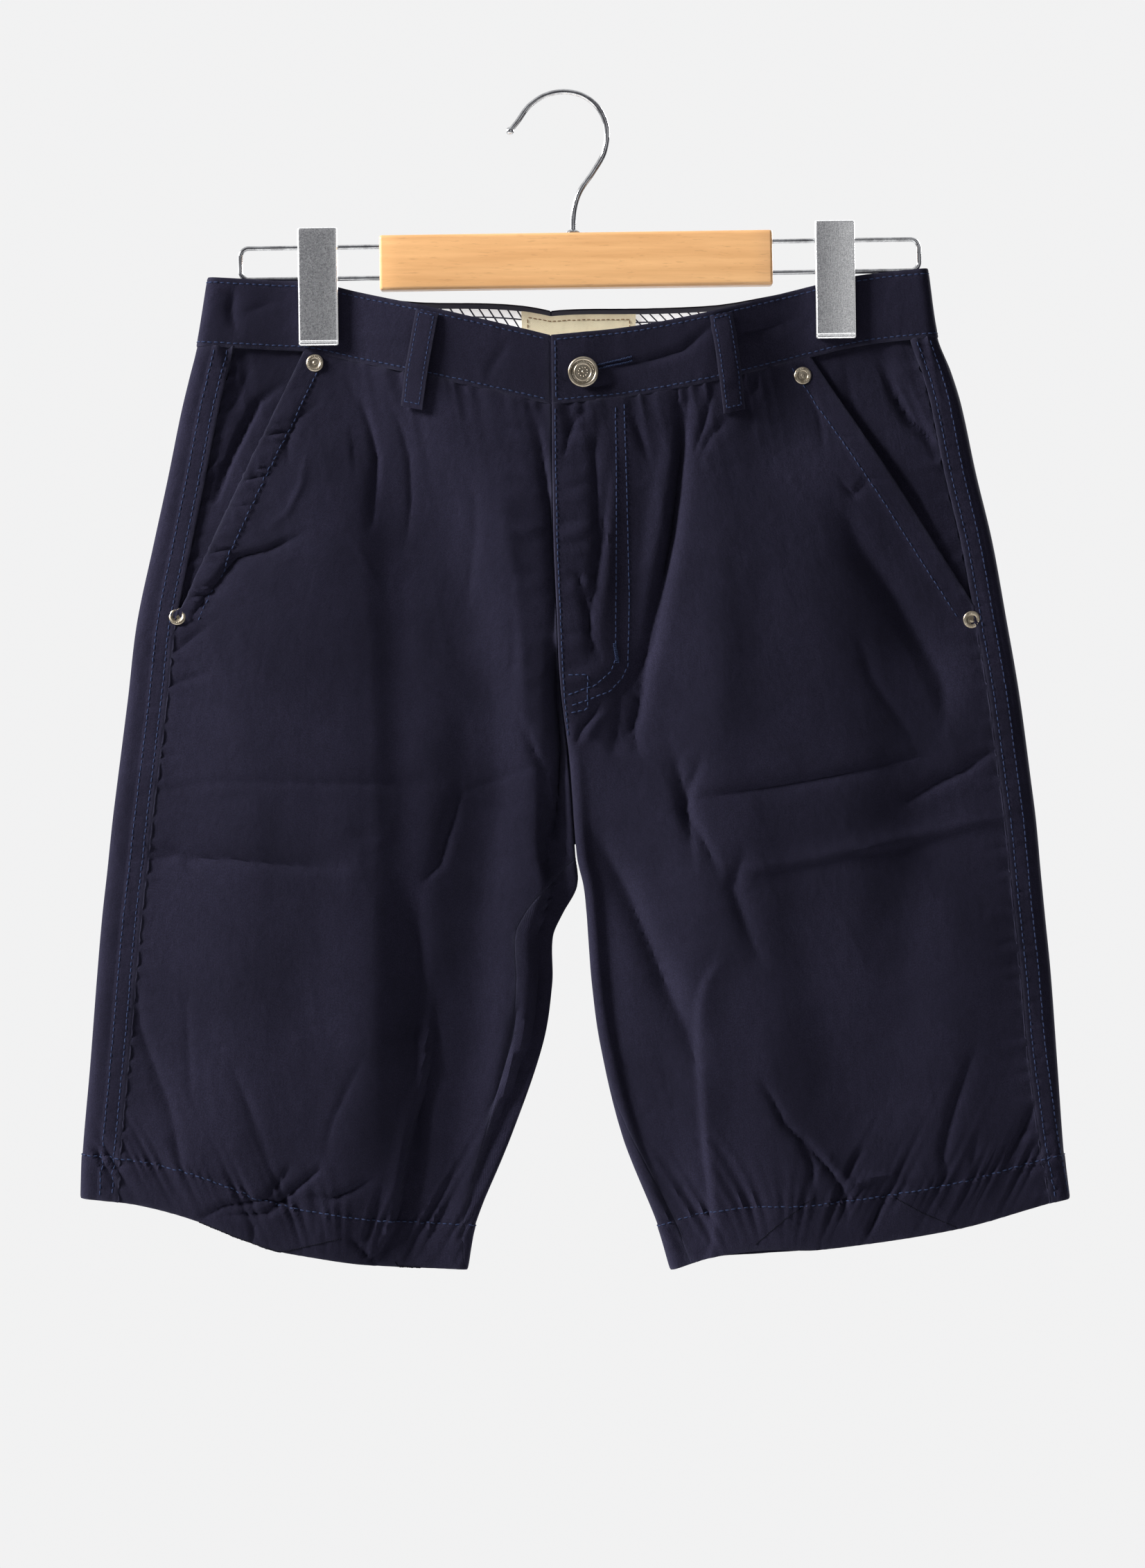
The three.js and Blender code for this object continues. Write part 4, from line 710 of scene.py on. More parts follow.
def wall_faces(rows, columns, ring, flip):
    """The quads of a closed wall of two grids joined at their borders."""
    spans = columns if ring else columns - 1
    r, c = np.meshgrid(np.arange(rows - 1), np.arange(spans), indexing="ij")
    d = (c + 1) % columns
    size = rows * columns
    outer = np.stack([r * columns + c, r * columns + d, (r + 1) * columns + d, (r + 1) * columns + c], -1)
    inner = outer[..., ::-1] + size
    parts = [outer.reshape(-1, 4), inner.reshape(-1, 4)]
    c = np.arange(spans)
    d = (c + 1) % columns
    last = (rows - 1) * columns
    parts.append(np.stack([c, c + size, d + size, d], -1))
    parts.append(np.stack([last + c, last + d, last + d + size, last + c + size], -1))
    if not ring:
        r = np.arange(rows - 1) * columns
        e = r + columns - 1
        parts.append(np.stack([r, r + columns, r + columns + size, r + size], -1))
        parts.append(np.stack([e, e + size, e + columns + size, e + columns], -1))
    faces = np.concatenate(parts)
    return faces[:, ::-1] if flip else faces


def add_mesh(name, points, faces, material, slot, uv=None, edge_wear_and_highlight=None, sharp=50, replaced=()):
    """A smooth-shaded mesh in metres that rides on the root body."""
    mesh = bpy.data.meshes.new(name)
    corners = faces if isinstance(faces, list) else faces.tolist()
    mesh.from_pydata((np.asarray(points) * MM).tolist(), [], corners)
    if uv is not None:
        corner = np.empty(len(mesh.loops), np.int32)
        mesh.loops.foreach_get("vertex_index", corner)
        mesh.uv_layers.new(name="UVMap").data.foreach_set("uv", uv[corner].astype(np.float32).ravel())
    if edge_wear_and_highlight is not None:
        worn_and_lit_edge = mesh.attributes.new("edge_wear_and_highlight", "FLOAT", "POINT")
        worn_and_lit_edge.data.foreach_set("value", edge_wear_and_highlight.astype(np.float32).ravel())
    mesh.polygons.foreach_set("use_smooth", np.ones(len(mesh.polygons), bool))
    mesh.set_sharp_from_angle(angle=math.radians(sharp))
    mesh.materials.append(material)
    piece = bpy.data.objects.new(name, mesh)
    bpy.context.scene.collection.objects.link(piece)
    if replaced:
        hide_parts(*replaced)
    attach(piece, "root")
    return piece


def places_between(breaks, counts):
    """Columns for every row: breaks is a list of arrays, and each count the steps to the next one."""
    parts = [breaks[0][:, None]]
    for k, count in enumerate(counts):
        s = np.arange(1, count + 1) / count
        parts.append(mix(breaks[k][:, None], breaks[k + 1][:, None], s[None, :]))
    return np.concatenate(parts, 1)


def drops_between(start, end, step):
    """Row places from start to end, closer at both ends so that the cloth's edges can round."""
    inner = np.linspace(start + 1.6, end - 1.6, max(2, round((end - start - 3.2) / step) + 1))
    return np.concatenate([[start, start + 0.35, start + 0.9], inner, [end - 0.9, end - 0.35, end]])


def wall(name, outer, inner, surface, flip, edge_wear_and_highlight=None, ring=False, replaced=(), material=None,
         slot="navy_cloth"):
    """A closed wall between two grids of points, with the same places on the cloth on both faces and
    the paler edges, partly faded by use and partly painted highlight, on the outer one only."""
    rows, columns = outer.shape[:2]
    points = np.concatenate([outer.reshape(-1, 3), inner.reshape(-1, 3)])
    uv = np.stack(np.broadcast_arrays(*surface), -1).reshape(-1, 2)
    if edge_wear_and_highlight is not None:
        edge_wear_and_highlight = np.concatenate([edge_wear_and_highlight.ravel(), 0 * edge_wear_and_highlight.ravel()])
    return add_mesh(name, points, wall_faces(rows, columns, ring, flip), material or cloth_material(), slot,
                    np.concatenate([uv, uv]), edge_wear_and_highlight, replaced=replaced)


def shell(name, part, side, drops, places, thick, cloth, offset=0.0, gape=None, ring=False,
          material=None, slot="navy_cloth", replaced=()):
    """A wall of cloth round the middle surface. Its outer face rounds over at the border by a fall
    that halves every half millimetre in from the edge."""
    rows = drops[:, None] + np.zeros_like(places)
    points = cloth_point(part, side, places, rows, cloth)
    normal = grid_normals(points, side)
    from_edge = np.minimum(rows - drops[0], drops[-1] - rows)
    if not ring:
        from_edge = np.minimum(from_edge, np.minimum(places - places[:, :1], places[:, -1:] - places))
    round_over = 0.42 * np.exp(-from_edge / 0.7)
    shift = np.zeros_like(places) + offset
    if gape is not None:
        shift = shift + gape(places, rows)
    out = shift + thick / 2 + outer_lift(part, side, places, rows) - round_over
    # Paler towards the border: partly fading from use, partly a painted highlight on the rounded edge.
    edge_wear_and_highlight = np.exp(-from_edge / 1.3) * (0.6 + 0.4 * mottle(places, rows, 7, 3))
    return wall(name, points + normal * out[..., None], points + normal * (shift - thick / 2)[..., None],
                (places if side == "right" else -places, rows), side == "left", edge_wear_and_highlight, ring, replaced,
                material, slot)


def panel_drops(cloth):
    """The rows of a leg panel, with close ones at the hem's stitching."""
    rows = drops_between(-1.1, LEG_DROP, cloth.row_step)
    hem = HEM_DROP + np.array([-2.4, -1.6, -0.8, 0, 0.8, 1.6])
    rows = rows[np.min(np.abs(rows[:, None] - hem[None, :]), 1) > 0.5]
    return np.sort(np.concatenate([rows, hem]))


def pocket_gape(side):
    """The front stands off the hip piece at the pocket: half a sine down the edge, fading inwards."""
    def gape(place, drop):
        off = np.maximum(0, -place - pocket_round(side, drop))
        hump = np.sin(math.pi * np.clip(drop / (POCKET_DROP + 12), 0, 1)) ** 0.8
        return 1.5 * hump * np.exp(-((off / 20) ** 2))
    return gape


def build_fronts(cloth):
    """Columns run from the centre front round to the pocket's edge and the side seam below it."""
    for side in SIDES:
        drops = panel_drops(cloth)
        n = row_sizes(side, drops)
        start = inseam(side, drops) - n.total - 0.6 * (drops > CROTCH_DROP + 6)
        seam = side_seam(side, drops) - 1.0
        outer = np.where(drops < POCKET_DROP, np.maximum(pocket_round(side, drops), seam), seam)
        breaks = [start, start + 1.4, start + FOLD_ARC, 50 - n.total, -outer - 15, -outer - 1.4, -outer]
        places = places_between(breaks, [3, 6, 18, int(cloth.column_count), 12, 3])
        piece = shell(f"cloth_front_{side}", "panel", side, drops, places, cloth.thickness, cloth,
                      gape=pocket_gape(side), replaced=(f"front_{side}",))


def build_backs(cloth):
    """Columns run from the side seam on the front, round the fold and across the back."""
    for side in SIDES:
        drops = panel_drops(cloth)
        n = row_sizes(side, drops)
        start = 0.15 - side_seam(side, drops)
        end = n.total + inseam(side, drops)
        zero = 0 * drops
        breaks = [start, start + 1.4, start + 14, zero, zero + FOLD_ARC, n.total - n.inner_arc,
                  end - 1.4, end]
        places = places_between(breaks, [3, 16, 5, 6, int(cloth.column_count * 0.95), 12, 3])
        piece = shell(f"cloth_back_{side}", "panel", side, drops, places, cloth.thickness, cloth,
                      replaced=(f"back_{side}",))


def build_facings(cloth):
    """The hip piece lies 2 mm in from the front and shows between the pocket's edge and the seam."""
    for side in SIDES:
        drops = drops_between(-1.1, POCKET_DROP - 0.5, cloth.row_step)
        seam = side_seam(side, drops) - 0.8
        places = places_between([-pocket_round(side, drops) - 14, -seam - 1.4, -seam], [36, 3])
        piece = shell(f"cloth_pocket_facing_{side}", "facing", side, drops, places, cloth.thickness,
                      cloth, offset=-2.0, replaced=(f"pocket_facing_{side}",))


def band_places(side, drops, cloth):
    """The columns of half a waistband, from the centre front round to the centre back."""
    n = row_sizes(side, drops)
    zero = 0 * drops
    breaks = [0.1 - n.total, 1.5 - n.total, 50 - n.total, zero - FOLD_ARC, zero, zero + FOLD_ARC,
              n.total - 50, n.total - 1.5, n.total - 0.1]
    wide = int(cloth.column_count * 0.8)
    return places_between(breaks, [3, 20, wide, 5, 5, wide, 16, 3])


def build_waistbands(cloth):
    """Each half of the band runs from the centre front round the fold to the centre back, and the
    lining lies inside it."""
    for side in SIDES:
        drops = drops_between(BAND_TOP, -0.15, 1.3)
        places = band_places(side, drops, cloth)
        piece = shell(f"cloth_waistband_{side}", "band", side, drops, places, 2 * cloth.thickness, cloth,
                      replaced=(f"waistband_{side}",))
        drops = drops_between(BAND_TOP + 0.9, -1, 2.6)
        places = band_places(side, drops, cloth)[:, ::2]
        piece = shell(f"lining_waistband_{side}", "band", side, drops, places, 1.0, cloth,
                      offset=LINING_OFFSET, material=stripe_material(), slot="striped_cloth",
                      replaced=(f"waistband_lining_{side}",))


def half_at(x, drop):
    """Which places belong to the right half of the garment, and the distance round their half."""
    right = x < through(OUTLINE[:, [0, 2]], drop)
    halves = [row_sizes(side, drop) for side in ("right", "left")]
    inset = [np.clip(np.abs(n.out - x), RADIUS, n.span - 1e-6) for n in halves]
    return right, round_to(np.where(right, *inset))


def patch(face, x, drop, offset, cloth, part="band"):
    """Points and normals over the cloth at given x and drop, on the front (-1) or back (1)."""
    x, drop, offset = (np.array(a, float) for a in np.broadcast_arrays(x, drop, offset))
    right, along = half_at(x, drop)
    points = np.empty(x.shape + (3,))
    normals = np.empty_like(points)
    for side, mask in (("right", right), ("left", ~right)):
        if mask.any():
            points[mask] = cloth_point(part, side, face * along[mask], drop[mask], cloth)
            normals[mask] = line_normals(part, side, face * along[mask], drop[mask], cloth)
    return points + normals * offset[..., None], normals


def build_underlaps(cloth):
    """A strip of cloth lies behind each centre seam, as the fly's underlap and the seat's seam do."""
    strips = (
        # name, face, how far it reaches across, first and last drop, part, place of its outer face
        ("fly", -1, (-5.5, 26), 2.0, 244.0, "panel", -1.5),
        ("seat", 1, (-7, 8), 2.0, 258.0, "panel", -1.5),
        ("fly_band", -1, (-6, 6), -40.6, -0.6, "band", 0.9),
        ("seat_band", 1, (-6, 6), -40.6, -0.6, "band", 0.9),
    )
    for name, face, span, first, last, part, out in strips:
        drops = drops_between(first, last, 4.0)
        middle = through(OUTLINE[:, [0, 2]], drops)[:, None]
        x = middle + np.linspace(*span, 15)[None, :]
        outer, _ = patch(face, x, drops[:, None], out, cloth, part)
        inner, _ = patch(face, x, drops[:, None], out - (1 if part == "panel" else 1.8), cloth, part)
        piece = wall(f"cloth_{name}_underlap", outer, inner, (x, drops[:, None]), face < 0)


def build_label(cloth):
    """The label lies on the back's lining, a little rumpled, with stitching near its edge."""
    u, v = np.meshgrid(np.linspace(0, 67.5, 46), np.linspace(-37.5, -7, 22))
    rumple = 0.16 * wave(u, 9, 71) + 0.1 * mottle(u, v, 8, 72)
    under = LINING_OFFSET - 1.0
    outer, _ = patch(1, u - 25, v, under + rumple, cloth)
    inner, _ = patch(1, u - 25, v, under - 0.8 + rumple, cloth)
    piece = wall("cloth_label", outer, inner, (u, v), False, replaced=("label",),
                 material=label_material(), slot="label_cloth")
    left, right, top, bottom = -21.5, 39.0, -34.3, -10.2
    corners = [(left, top), (right, top), (right, bottom), (left, bottom), (left, top)]
    lines = []
    for (x0, drop0), (x1, drop1) in zip(corners, corners[1:]):
        share = np.linspace(0, 1, max(6, int(math.hypot(x1 - x0, drop1 - drop0) / 2.5)))
        at, normal = patch(1, mix(x0, x1, share), mix(drop0, drop1, share), under - 0.95, cloth)
        lines.append((at, -normal))
    stitches("stitch_label", lines, 2.2, 0.7, 0.34, material=label_thread(), slot="label_cloth")


def build_hem_facings(cloth):
    """The turned-up hem is a ring of cloth inside the leg, from the stitching to the edge."""
    for side in SIDES:
        drops = drops_between(HEM_DROP, LEG_DROP - 0.8, 2.4)
        total = row_sizes(side, drops).total
        zero = 0 * drops
        breaks = [FOLD_ARC - total, zero - FOLD_ARC, zero, zero + FOLD_ARC, total - FOLD_ARC, total,
                  total + FOLD_ARC]
        wide = int(cloth.column_count * 0.7)
        places = places_between(breaks, [wide, 5, 5, wide, 5, 5])[:, :-1]
        piece = shell(f"cloth_hem_facing_{side}", "panel", side, drops, places, 1.0, cloth,
                      offset=-2.1, ring=True, replaced=(f"hem_facing_{side}",))


def build_loops(cloth):
    """Each loop is a strip with rolled edges that leaves the band at its top, arches over it as a
    half sine, and is tacked down below the waist seam."""
    share = np.linspace(0, 1, 40)
    drops = mix(LOOP_TOP, LOOP_BOTTOM, share)
    across = np.linspace(-1, 1, 13)
    under = mix(1.2, 0.6, smoothstep(1, 7, drops)) + 0.8
    arch = 2.2 * np.sin(math.pi * share) ** 0.7
    base = (under + arch)[:, None] + 0 * across[None, :]
    rolled = 0.55 * np.abs(across) ** 6
    ditch = 0.2 * bell(np.abs(across), 0.68, 0.09)
    top = base + 1.4 - rolled - ditch + 0.06 * mottle(across * 6, drops[:, None], 5, 9)
    # The loop's rolled edges are paler: partly fading from use, partly a painted highlight.
    edge_wear_and_highlight = 0.7 * np.abs(across)[None, :] ** 8 + 0 * drops[:, None]
    for name, (face, x_top, x_bottom) in LOOPS.items():
        middle = mix(x_top, x_bottom, share)[:, None] + across[None, :] * LOOP_HALF
        outer, normal = patch(face, middle, drops[:, None], top, cloth)
        inner, _ = patch(face, middle, drops[:, None], base, cloth)
        piece = wall(f"cloth_{name}", outer, inner, np.meshgrid(across * LOOP_HALF, drops), face < 0,
                     edge_wear_and_highlight, replaced=(name,))
        edges = [(outer[1:-1, k], normal[1:-1, k]) for k in (2, 10)]
        tacks = [(outer[r, 2:11], normal[r, 2:11]) for r in (1, -3)]
        stitches(f"stitch_{name}", edges + tacks, 2.2, 0.8, 0.36)


def resample(points, normals, step):
    """Places at even steps along a line, with the line's direction and the cloth's normal there."""
    lengths = np.linalg.norm(np.diff(points, axis=0), axis=1)
    place = np.concatenate([[0], np.cumsum(lengths)])
    at = np.arange(step / 2, place[-1], step)

    def pick(rows, where):
        return np.stack([np.interp(where, place, rows[:, k]) for k in range(3)], -1)

    ahead = pick(points, np.minimum(at + 0.6, place[-1]))
    behind = pick(points, np.maximum(at - 0.6, 0))
    return pick(points, at), unit(ahead - behind), unit(pick(normals, at))


def stitches(name, lines, length, gap, width, seed=5, material=None, slot="navy_cloth"):
    """Each stitch is a short plump bead along its row, with its ends dipping into the cloth."""
    ring = np.array([(math.cos(a), math.sin(a)) for a in np.arange(5) * 2 * math.pi / 5])
    along = np.array([-0.5, -0.28, 0.28, 0.5])
    girth = np.array([0.45, 1, 1, 0.45])
    dip = np.array([-0.55, 0, 0, -0.55])
    k, i = np.meshgrid(np.arange(3), np.arange(5), indexing="ij")
    j = (i + 1) % 5
    quad = np.stack([k * 5 + i, k * 5 + j, (k + 1) * 5 + j, (k + 1) * 5 + i], -1).reshape(-1, 4)
    rng = np.random.default_rng(seed)
    points, faces, base = [], [], 0
    for line, normals in lines:
        centre, tangent, normal = resample(line, normals, length + gap)
        count = len(centre)
        if not count:
            continue
        bitangent = np.cross(tangent, normal)
        jitter = rng.uniform(-0.12, 0.12, (count, 1))
        long = length * rng.uniform(0.9, 1.06, (count, 1, 1))
        middle = centre + bitangent * jitter
        spine = middle[:, None] + tangent[:, None] * along[None, :, None] * long
        spine = spine + normal[:, None] * (dip * width)[None, :, None]
        around = bitangent[:, None, None] * ring[None, None, :, 0, None] * 1.15
        around = around + normal[:, None, None] * ring[None, None, :, 1, None]
        verts = spine[:, :, None] + around * (girth * width)[None, :, None, None]
        points.append(verts.reshape(-1, 3))
        starts = base + 20 * np.arange(count)
        faces += (quad[None] + starts[:, None, None]).reshape(-1, 4).tolist()
        faces += [[s + 4, s + 3, s + 2, s + 1, s] for s in starts]
        faces += [[s + 15, s + 16, s + 17, s + 18, s + 19] for s in starts]
        base += 20 * count
    add_mesh(name, np.concatenate(points), faces, material or thread_material(), slot, sharp=80)


def sewn_line(part, side, place, drop, cloth, lift=0.12):
    """Points and normals of a row of stitching that lies on the cloth's outer face."""
    place, drop = np.broadcast_arrays(np.asarray(place, float), np.asarray(drop, float))
    thick = cloth.thickness * (2 if part == "band" else 1)
    normal = line_normals(part, side, place, drop, cloth)
    shift = thick / 2 + outer_lift(part, side, place, drop) + lift
    if part == "panel":
        n = row_sizes(side, drop)
        front = (place < -side_seam(side, drop)) & (place > -n.total) & (drop < POCKET_DROP)
        shift = shift + np.where(front, pocket_gape(side)(place, drop), 0)
    return cloth_point(part, side, place, drop, cloth) + normal * shift[..., None], normal


def locate(side, face, points):
    """The distance round and drop of drawn places: x fixes the share across, and then the drop is
    found by halving until its level meets z."""
    x, z = np.array(points, float).T
    low, high = np.zeros_like(x), np.full_like(x, LEG_DROP)
    for _ in range(40):
        drop = (low + high) / 2
        n = row_sizes(side, drop)
        deeper = level(side, face, np.abs(n.out - x) / n.span, drop) > z
        low, high = np.where(deeper, drop, low), np.where(deeper, high, drop)
    n = row_sizes(side, drop)
    return face * round_to(np.abs(n.out - x)), drop


def dense(points, step=2.0):
    """A drawn line with places at even steps."""
    p = np.array(points, float)
    place = np.concatenate([[0], np.cumsum(np.hypot(*np.diff(p, axis=0).T))])
    at = np.linspace(0, place[-1], max(3, int(place[-1] / step)))
    return np.stack([np.interp(at, place, p[:, k]) for k in range(2)], -1)


def panel_rows(side, cloth):
    """The side seam's two rows, the pocket's row, the hem's, the waistband's two and the seat's."""
    lines = []
    drop = np.arange(1.0, 507, 2.0)
    for off in SIDE_STITCHES:
        lines.append(sewn_line("panel", side, off - side_seam(side, drop), drop, cloth))
    drop = np.arange(3.0, 163, 2.0)
    pocket = -pocket_round(side, drop) - POCKET_STITCHES / 0.9
    keep = -pocket > side_seam(side, drop) + 1.5
    lines.append(sewn_line("panel", side, pocket[keep], drop[keep], cloth))
    total = float(row_sizes(side, np.array(HEM_DROP)).total)
    start = float(inseam(side, np.array(HEM_DROP)))
    place = np.arange(1 - total + start, total + start - 1, 2.0)
    lines.append(sewn_line("panel", side, place, HEM_DROP, cloth))
    for row in BAND_STITCHES:
        total = float(row_sizes(side, np.array(row)).total)
        lines.append(sewn_line("band", side, np.arange(3.0 - total, total - 1, 2.0), row, cloth))
    drop = np.arange(2.0, 200, 2.0)
    lines.append(sewn_line("panel", side, row_sizes(side, drop).total - 2.5, drop, cloth))
    return lines


def fly_rows(side, cloth):
    """The rows along the fly's edge, over the band's end, round the curved fly and its lower box."""
    lines = []
    for part, first, last, inset in (("panel", 2.0, 196, 2.2), ("band", -38.0, -3, 2.4)):
        drop = np.arange(first, last, 2.0)
        lines.append(sewn_line(part, side, inset - row_sizes(side, drop).total, drop, cloth))
    for path in (*FLY_STITCH, FLY_BOX):
        lines.append(sewn_line("panel", side, *locate(side, -1, dense(path)), cloth))
    return lines


def build_stitching(cloth, thread):
    """The rows of each half, the hem's seam insets in painted shade, the buttonhole's two close rows and the
    fly's tack.
    """
    for side in SIDES:
        lines = panel_rows(side, cloth) + (fly_rows(side, cloth) if side == "left" else [])
        stitches(f"stitch_rows_{side}", lines, thread.length, thread.gap, thread.width, 31)
        # The hem's insert seams are very dark beads: painted shade in each seam's groove.
        seams = [sewn_line("panel", side, *locate(side, -1, dense(path)), cloth, lift=0.02)
                 for path in HEM_SEAM[side]]
        stitches(f"hem_seam_painted_shade_{side}", seams, 1.6, -0.2, 0.3, 32, shade_material())
    drop = np.linspace(-19.5, -22.5, 40)
    place = -half_at(np.linspace(18, 40, 40), -21.0)[1]
    sides = [sewn_line("band", "left", place, drop + row, cloth, lift=0.3) for row in (-1.1, 1.1)]
    stitches("stitch_buttonhole", sides, 0.7, 0.25, 0.5, 33)
    place = -float(half_at(np.array(FLY_TACK_X), np.array(FLY_TACK_DROP))[1])
    drop = np.linspace(FLY_TACK_DROP - 6, FLY_TACK_DROP + 6, 8)
    tacks = [sewn_line("panel", "left", np.full(8, place + k), drop, cloth, lift=0.2) for k in (-0.6, 0, 0.6)]
    stitches("stitch_fly_tack", tacks, 1.1, 0.1, 0.35, 34)


# Metal and wood

def tilted(points):
    """Turned with the hanger about the Y axis through the hook's seat."""
    c, s = math.cos(HANGER_TILT), math.sin(HANGER_TILT)
    p = np.asarray(points, float)
    return np.stack([c * p[..., 0] + s * p[..., 2], p[..., 1], -s * p[..., 0] + c * p[..., 2]], -1)


def lathe(profile, axis, at, count=72):
    """A closed solid of revolution: profile rows are (radius, height along the axis) from the
    bottom's middle to the top's middle."""
    axis = unit(np.array(axis, float))
    side = unit(np.cross(axis, (0.3, 0.2, 1.0) if abs(axis[2]) < 0.9 else (1.0, 0, 0)))
    other = np.cross(axis, side)
    angle = np.arange(count) * 2 * math.pi / count
    ring = np.cos(angle)[:, None] * side + np.sin(angle)[:, None] * other
    points = [np.asarray(at) + axis * profile[0][1]]
    for radius, height in profile[1:-1]:
        points += list(np.asarray(at) + axis * height + ring * radius)
    points.append(np.asarray(at) + axis * profile[-1][1])
    faces = []
    rings = len(profile) - 2
    for i in range(count):
        j = (i + 1) % count
        faces.append([0, 1 + j, 1 + i])
        for r in range(rings - 1):
            a, b = 1 + r * count, 1 + (r + 1) * count
            faces.append([a + i, a + j, b + j, b + i])
        top = 1 + (rings - 1) * count
        faces.append([top + i, top + j, 1 + rings * count])
    return np.array(points), faces


def ball(at, axis, radius, rise, count=10):
    """A dome: a quarter ellipse turned round its axis."""
    profile = [(0, -0.2 * rise)]
    for t in np.linspace(0, math.pi / 2, 5)[:-1]:
        profile.append((radius * math.cos(t), rise * math.sin(t)))
    profile.append((0, rise))
    return lathe(profile, axis, at, count)


def joined(parts):
    """Several meshes as one."""
    points, faces, base = [], [], 0
    for p, f in parts:
        points.append(np.asarray(p))
        faces += [[v + base for v in face] for face in f]
        base += len(p)
    return np.concatenate(points), faces


def metal_mount(part, side, place, drop, cloth, lift):
    """Where a stud sits on the cloth, and the way it faces."""
    point, normal = sewn_line(part, side, np.array([place]), np.array([drop]), cloth, lift)
    return point[0], normal[0]


def dots(at, axis, count, reach, lift, radius, rise, first=0.0):
    """A ring of small domes round a stud's axis."""
    across = unit(np.cross(axis, (0, 0, 1)))
    up = np.cross(across, axis)
    turns = [k * math.pi / (count / 2) + first for k in range(count)]
    return [ball(at + axis * lift + (across * math.cos(a) + up * math.sin(a)) * reach, axis, radius, rise, 8)
            for a in turns]


def build_studs(cloth):
    """The waist button is a shallow dish inside a rolled rim with a dotted border; each rivet is a
    domed ring with dots round a sunken middle."""
    along = float(half_at(np.array(BUTTON_X), np.array(BUTTON_DROP))[1])
    at, axis = metal_mount("band", "left", -along, BUTTON_DROP, cloth, -0.3)
    parts = [lathe(BUTTON_PROFILE, axis, at, 96)]
    parts += dots(at, axis, 36, 6.2, 2.62, 0.34, 0.3)
    parts += dots(at, axis, 10, 2.6, 2.4, 0.5, 0.38, 0.2)
    parts.append(ball(at + axis * 2.4, axis, 1.0, 0.55, 14))
    add_mesh("metal_button", *joined(parts), aged_material(), "old_silver", sharp=40,
             replaced=("fly_button",))
    for name, (side, x, drop) in RIVETS.items():
        n = row_sizes(side, np.array([drop]))
        place = -float(round_to(np.abs(n.out - x))[0])
        at, axis = metal_mount("panel", side, place, drop, cloth, -0.35)
        parts = [lathe(RIVET_PROFILE, axis, at, 72)] + dots(at, axis, 20, 3.9, 1.4, 0.36, 0.26)
        add_mesh(f"metal_{name}", *joined(parts), aged_material(), "old_silver", sharp=40, replaced=(name,))


def spline(points, step):
    """A smooth curve through the points, at even steps of the distance from point to point."""
    p = np.array(points, float)
    place = np.concatenate([[0], np.cumsum(np.hypot(*np.diff(p, axis=0).T))])
    at = np.linspace(0, place[-1], int(place[-1] / step))
    return np.stack([through(np.stack([place, p[:, k]], -1), at) for k in range(2)], -1)


def tube(path, radius, count=20, close_tip=None):
    """A round bar swept along a path in the XZ plane, with flat ends or a ball at its start."""
    path = np.asarray(path, float)
    tangent = np.gradient(path, axis=0)
    tangent /= np.linalg.norm(tangent, axis=1, keepdims=True)
    normal = np.stack([-tangent[:, 1], tangent[:, 0]], -1)
    radius = np.broadcast_to(radius, len(path))
    if close_tip:
        t = np.linspace(0, math.pi * 0.72, 12)
        lead = path[0] - tangent[0] * 0.9
        cap = lead - tangent[0] * (np.cos(t) * close_tip)[:, None]
        path = np.concatenate([cap, path[1:]])
        normal = np.concatenate([np.repeat(normal[:1], 12, 0), normal[1:]])
        radius = np.concatenate([np.maximum(np.sin(t) * close_tip, 0.05), radius[1:]])
    angle = np.arange(count) * 2 * math.pi / count
    out = radius[:, None] * np.cos(angle)[None, :]
    x = path[:, :1] + normal[:, :1] * out
    z = path[:, 1:] + normal[:, 1:] * out
    y = radius[:, None] * np.sin(angle)[None, :] + 0 * x
    points = np.stack([x, y, z], -1).reshape(-1, 3)
    r, c = np.meshgrid(np.arange(len(path) - 1), np.arange(count), indexing="ij")
    d = (c + 1) % count
    quads = np.stack([r * count + c, (r + 1) * count + c, (r + 1) * count + d, r * count + d], -1)
    faces = quads.reshape(-1, 4).tolist()
    last = (len(path) - 1) * count
    faces.append(list(range(count)))
    faces.append([last + k for k in range(count)][::-1])
    return points, faces


def bevelled(piece, width, angle=40):
    """Rounds the edges of a folded plate."""
    bevel = piece.modifiers.new("edge", "BEVEL")
    bevel.width = width * MM
    bevel.segments = 2
    bevel.limit_method = "ANGLE"
    bevel.angle_limit = math.radians(angle)


def add_steel(name, points, faces, replaced, sharp=50, material=None):
    """A steel piece of the hanger, turned with it."""
    return add_mesh(name, tilted(points), faces, material or chrome_material(), "bright_steel",
                    sharp=sharp, replaced=(replaced,))


def build_hook():
    """The hook is a wire swept along its curve, with a ball at its tip, above a turned ferrule."""
    points, faces = tube(spline(HOOK_LINE, 0.8), HOOK_RADIUS, 24, close_tip=HOOK_TIP_RADIUS)
    add_steel("metal_hook", points, faces, "hanger_hook")
    foot = (HOOK_LINE[-1][0], 0, BAR.z + BAR.height / 2 + 0.3)
    points, faces = lathe(FERRULE_PROFILE, (0, 0, 1), foot, 48)
    add_steel("metal_ferrule", points, faces, "hook_ferrule", 40)


def build_rails():
    """Each rail is one wire that leaves the bar's end, turns down at two round corners and returns."""
    turn = np.linspace(0, math.pi / 2, 12)
    c = RAIL.corner
    for side, end, sign in (("left", RAIL.left, 1), ("right", RAIL.right, -1)):
        bar_end = BAR.x + sign * (BAR.length / 2 + 0.3)
        top = np.stack([end - sign * c + sign * c * np.sin(turn), RAIL.top - c + c * np.cos(turn)], -1)
        low = np.stack([end - sign * c + sign * c * np.cos(turn), RAIL.bottom + c - c * np.sin(turn)], -1)
        path = np.concatenate([[(bar_end, RAIL.top)], top, low, [(bar_end, RAIL.bottom)]])
        points, faces = tube(path, RAIL.radius, 18)
        add_steel(f"metal_rail_{side}", points, faces, f"hanger_rail_{side}")


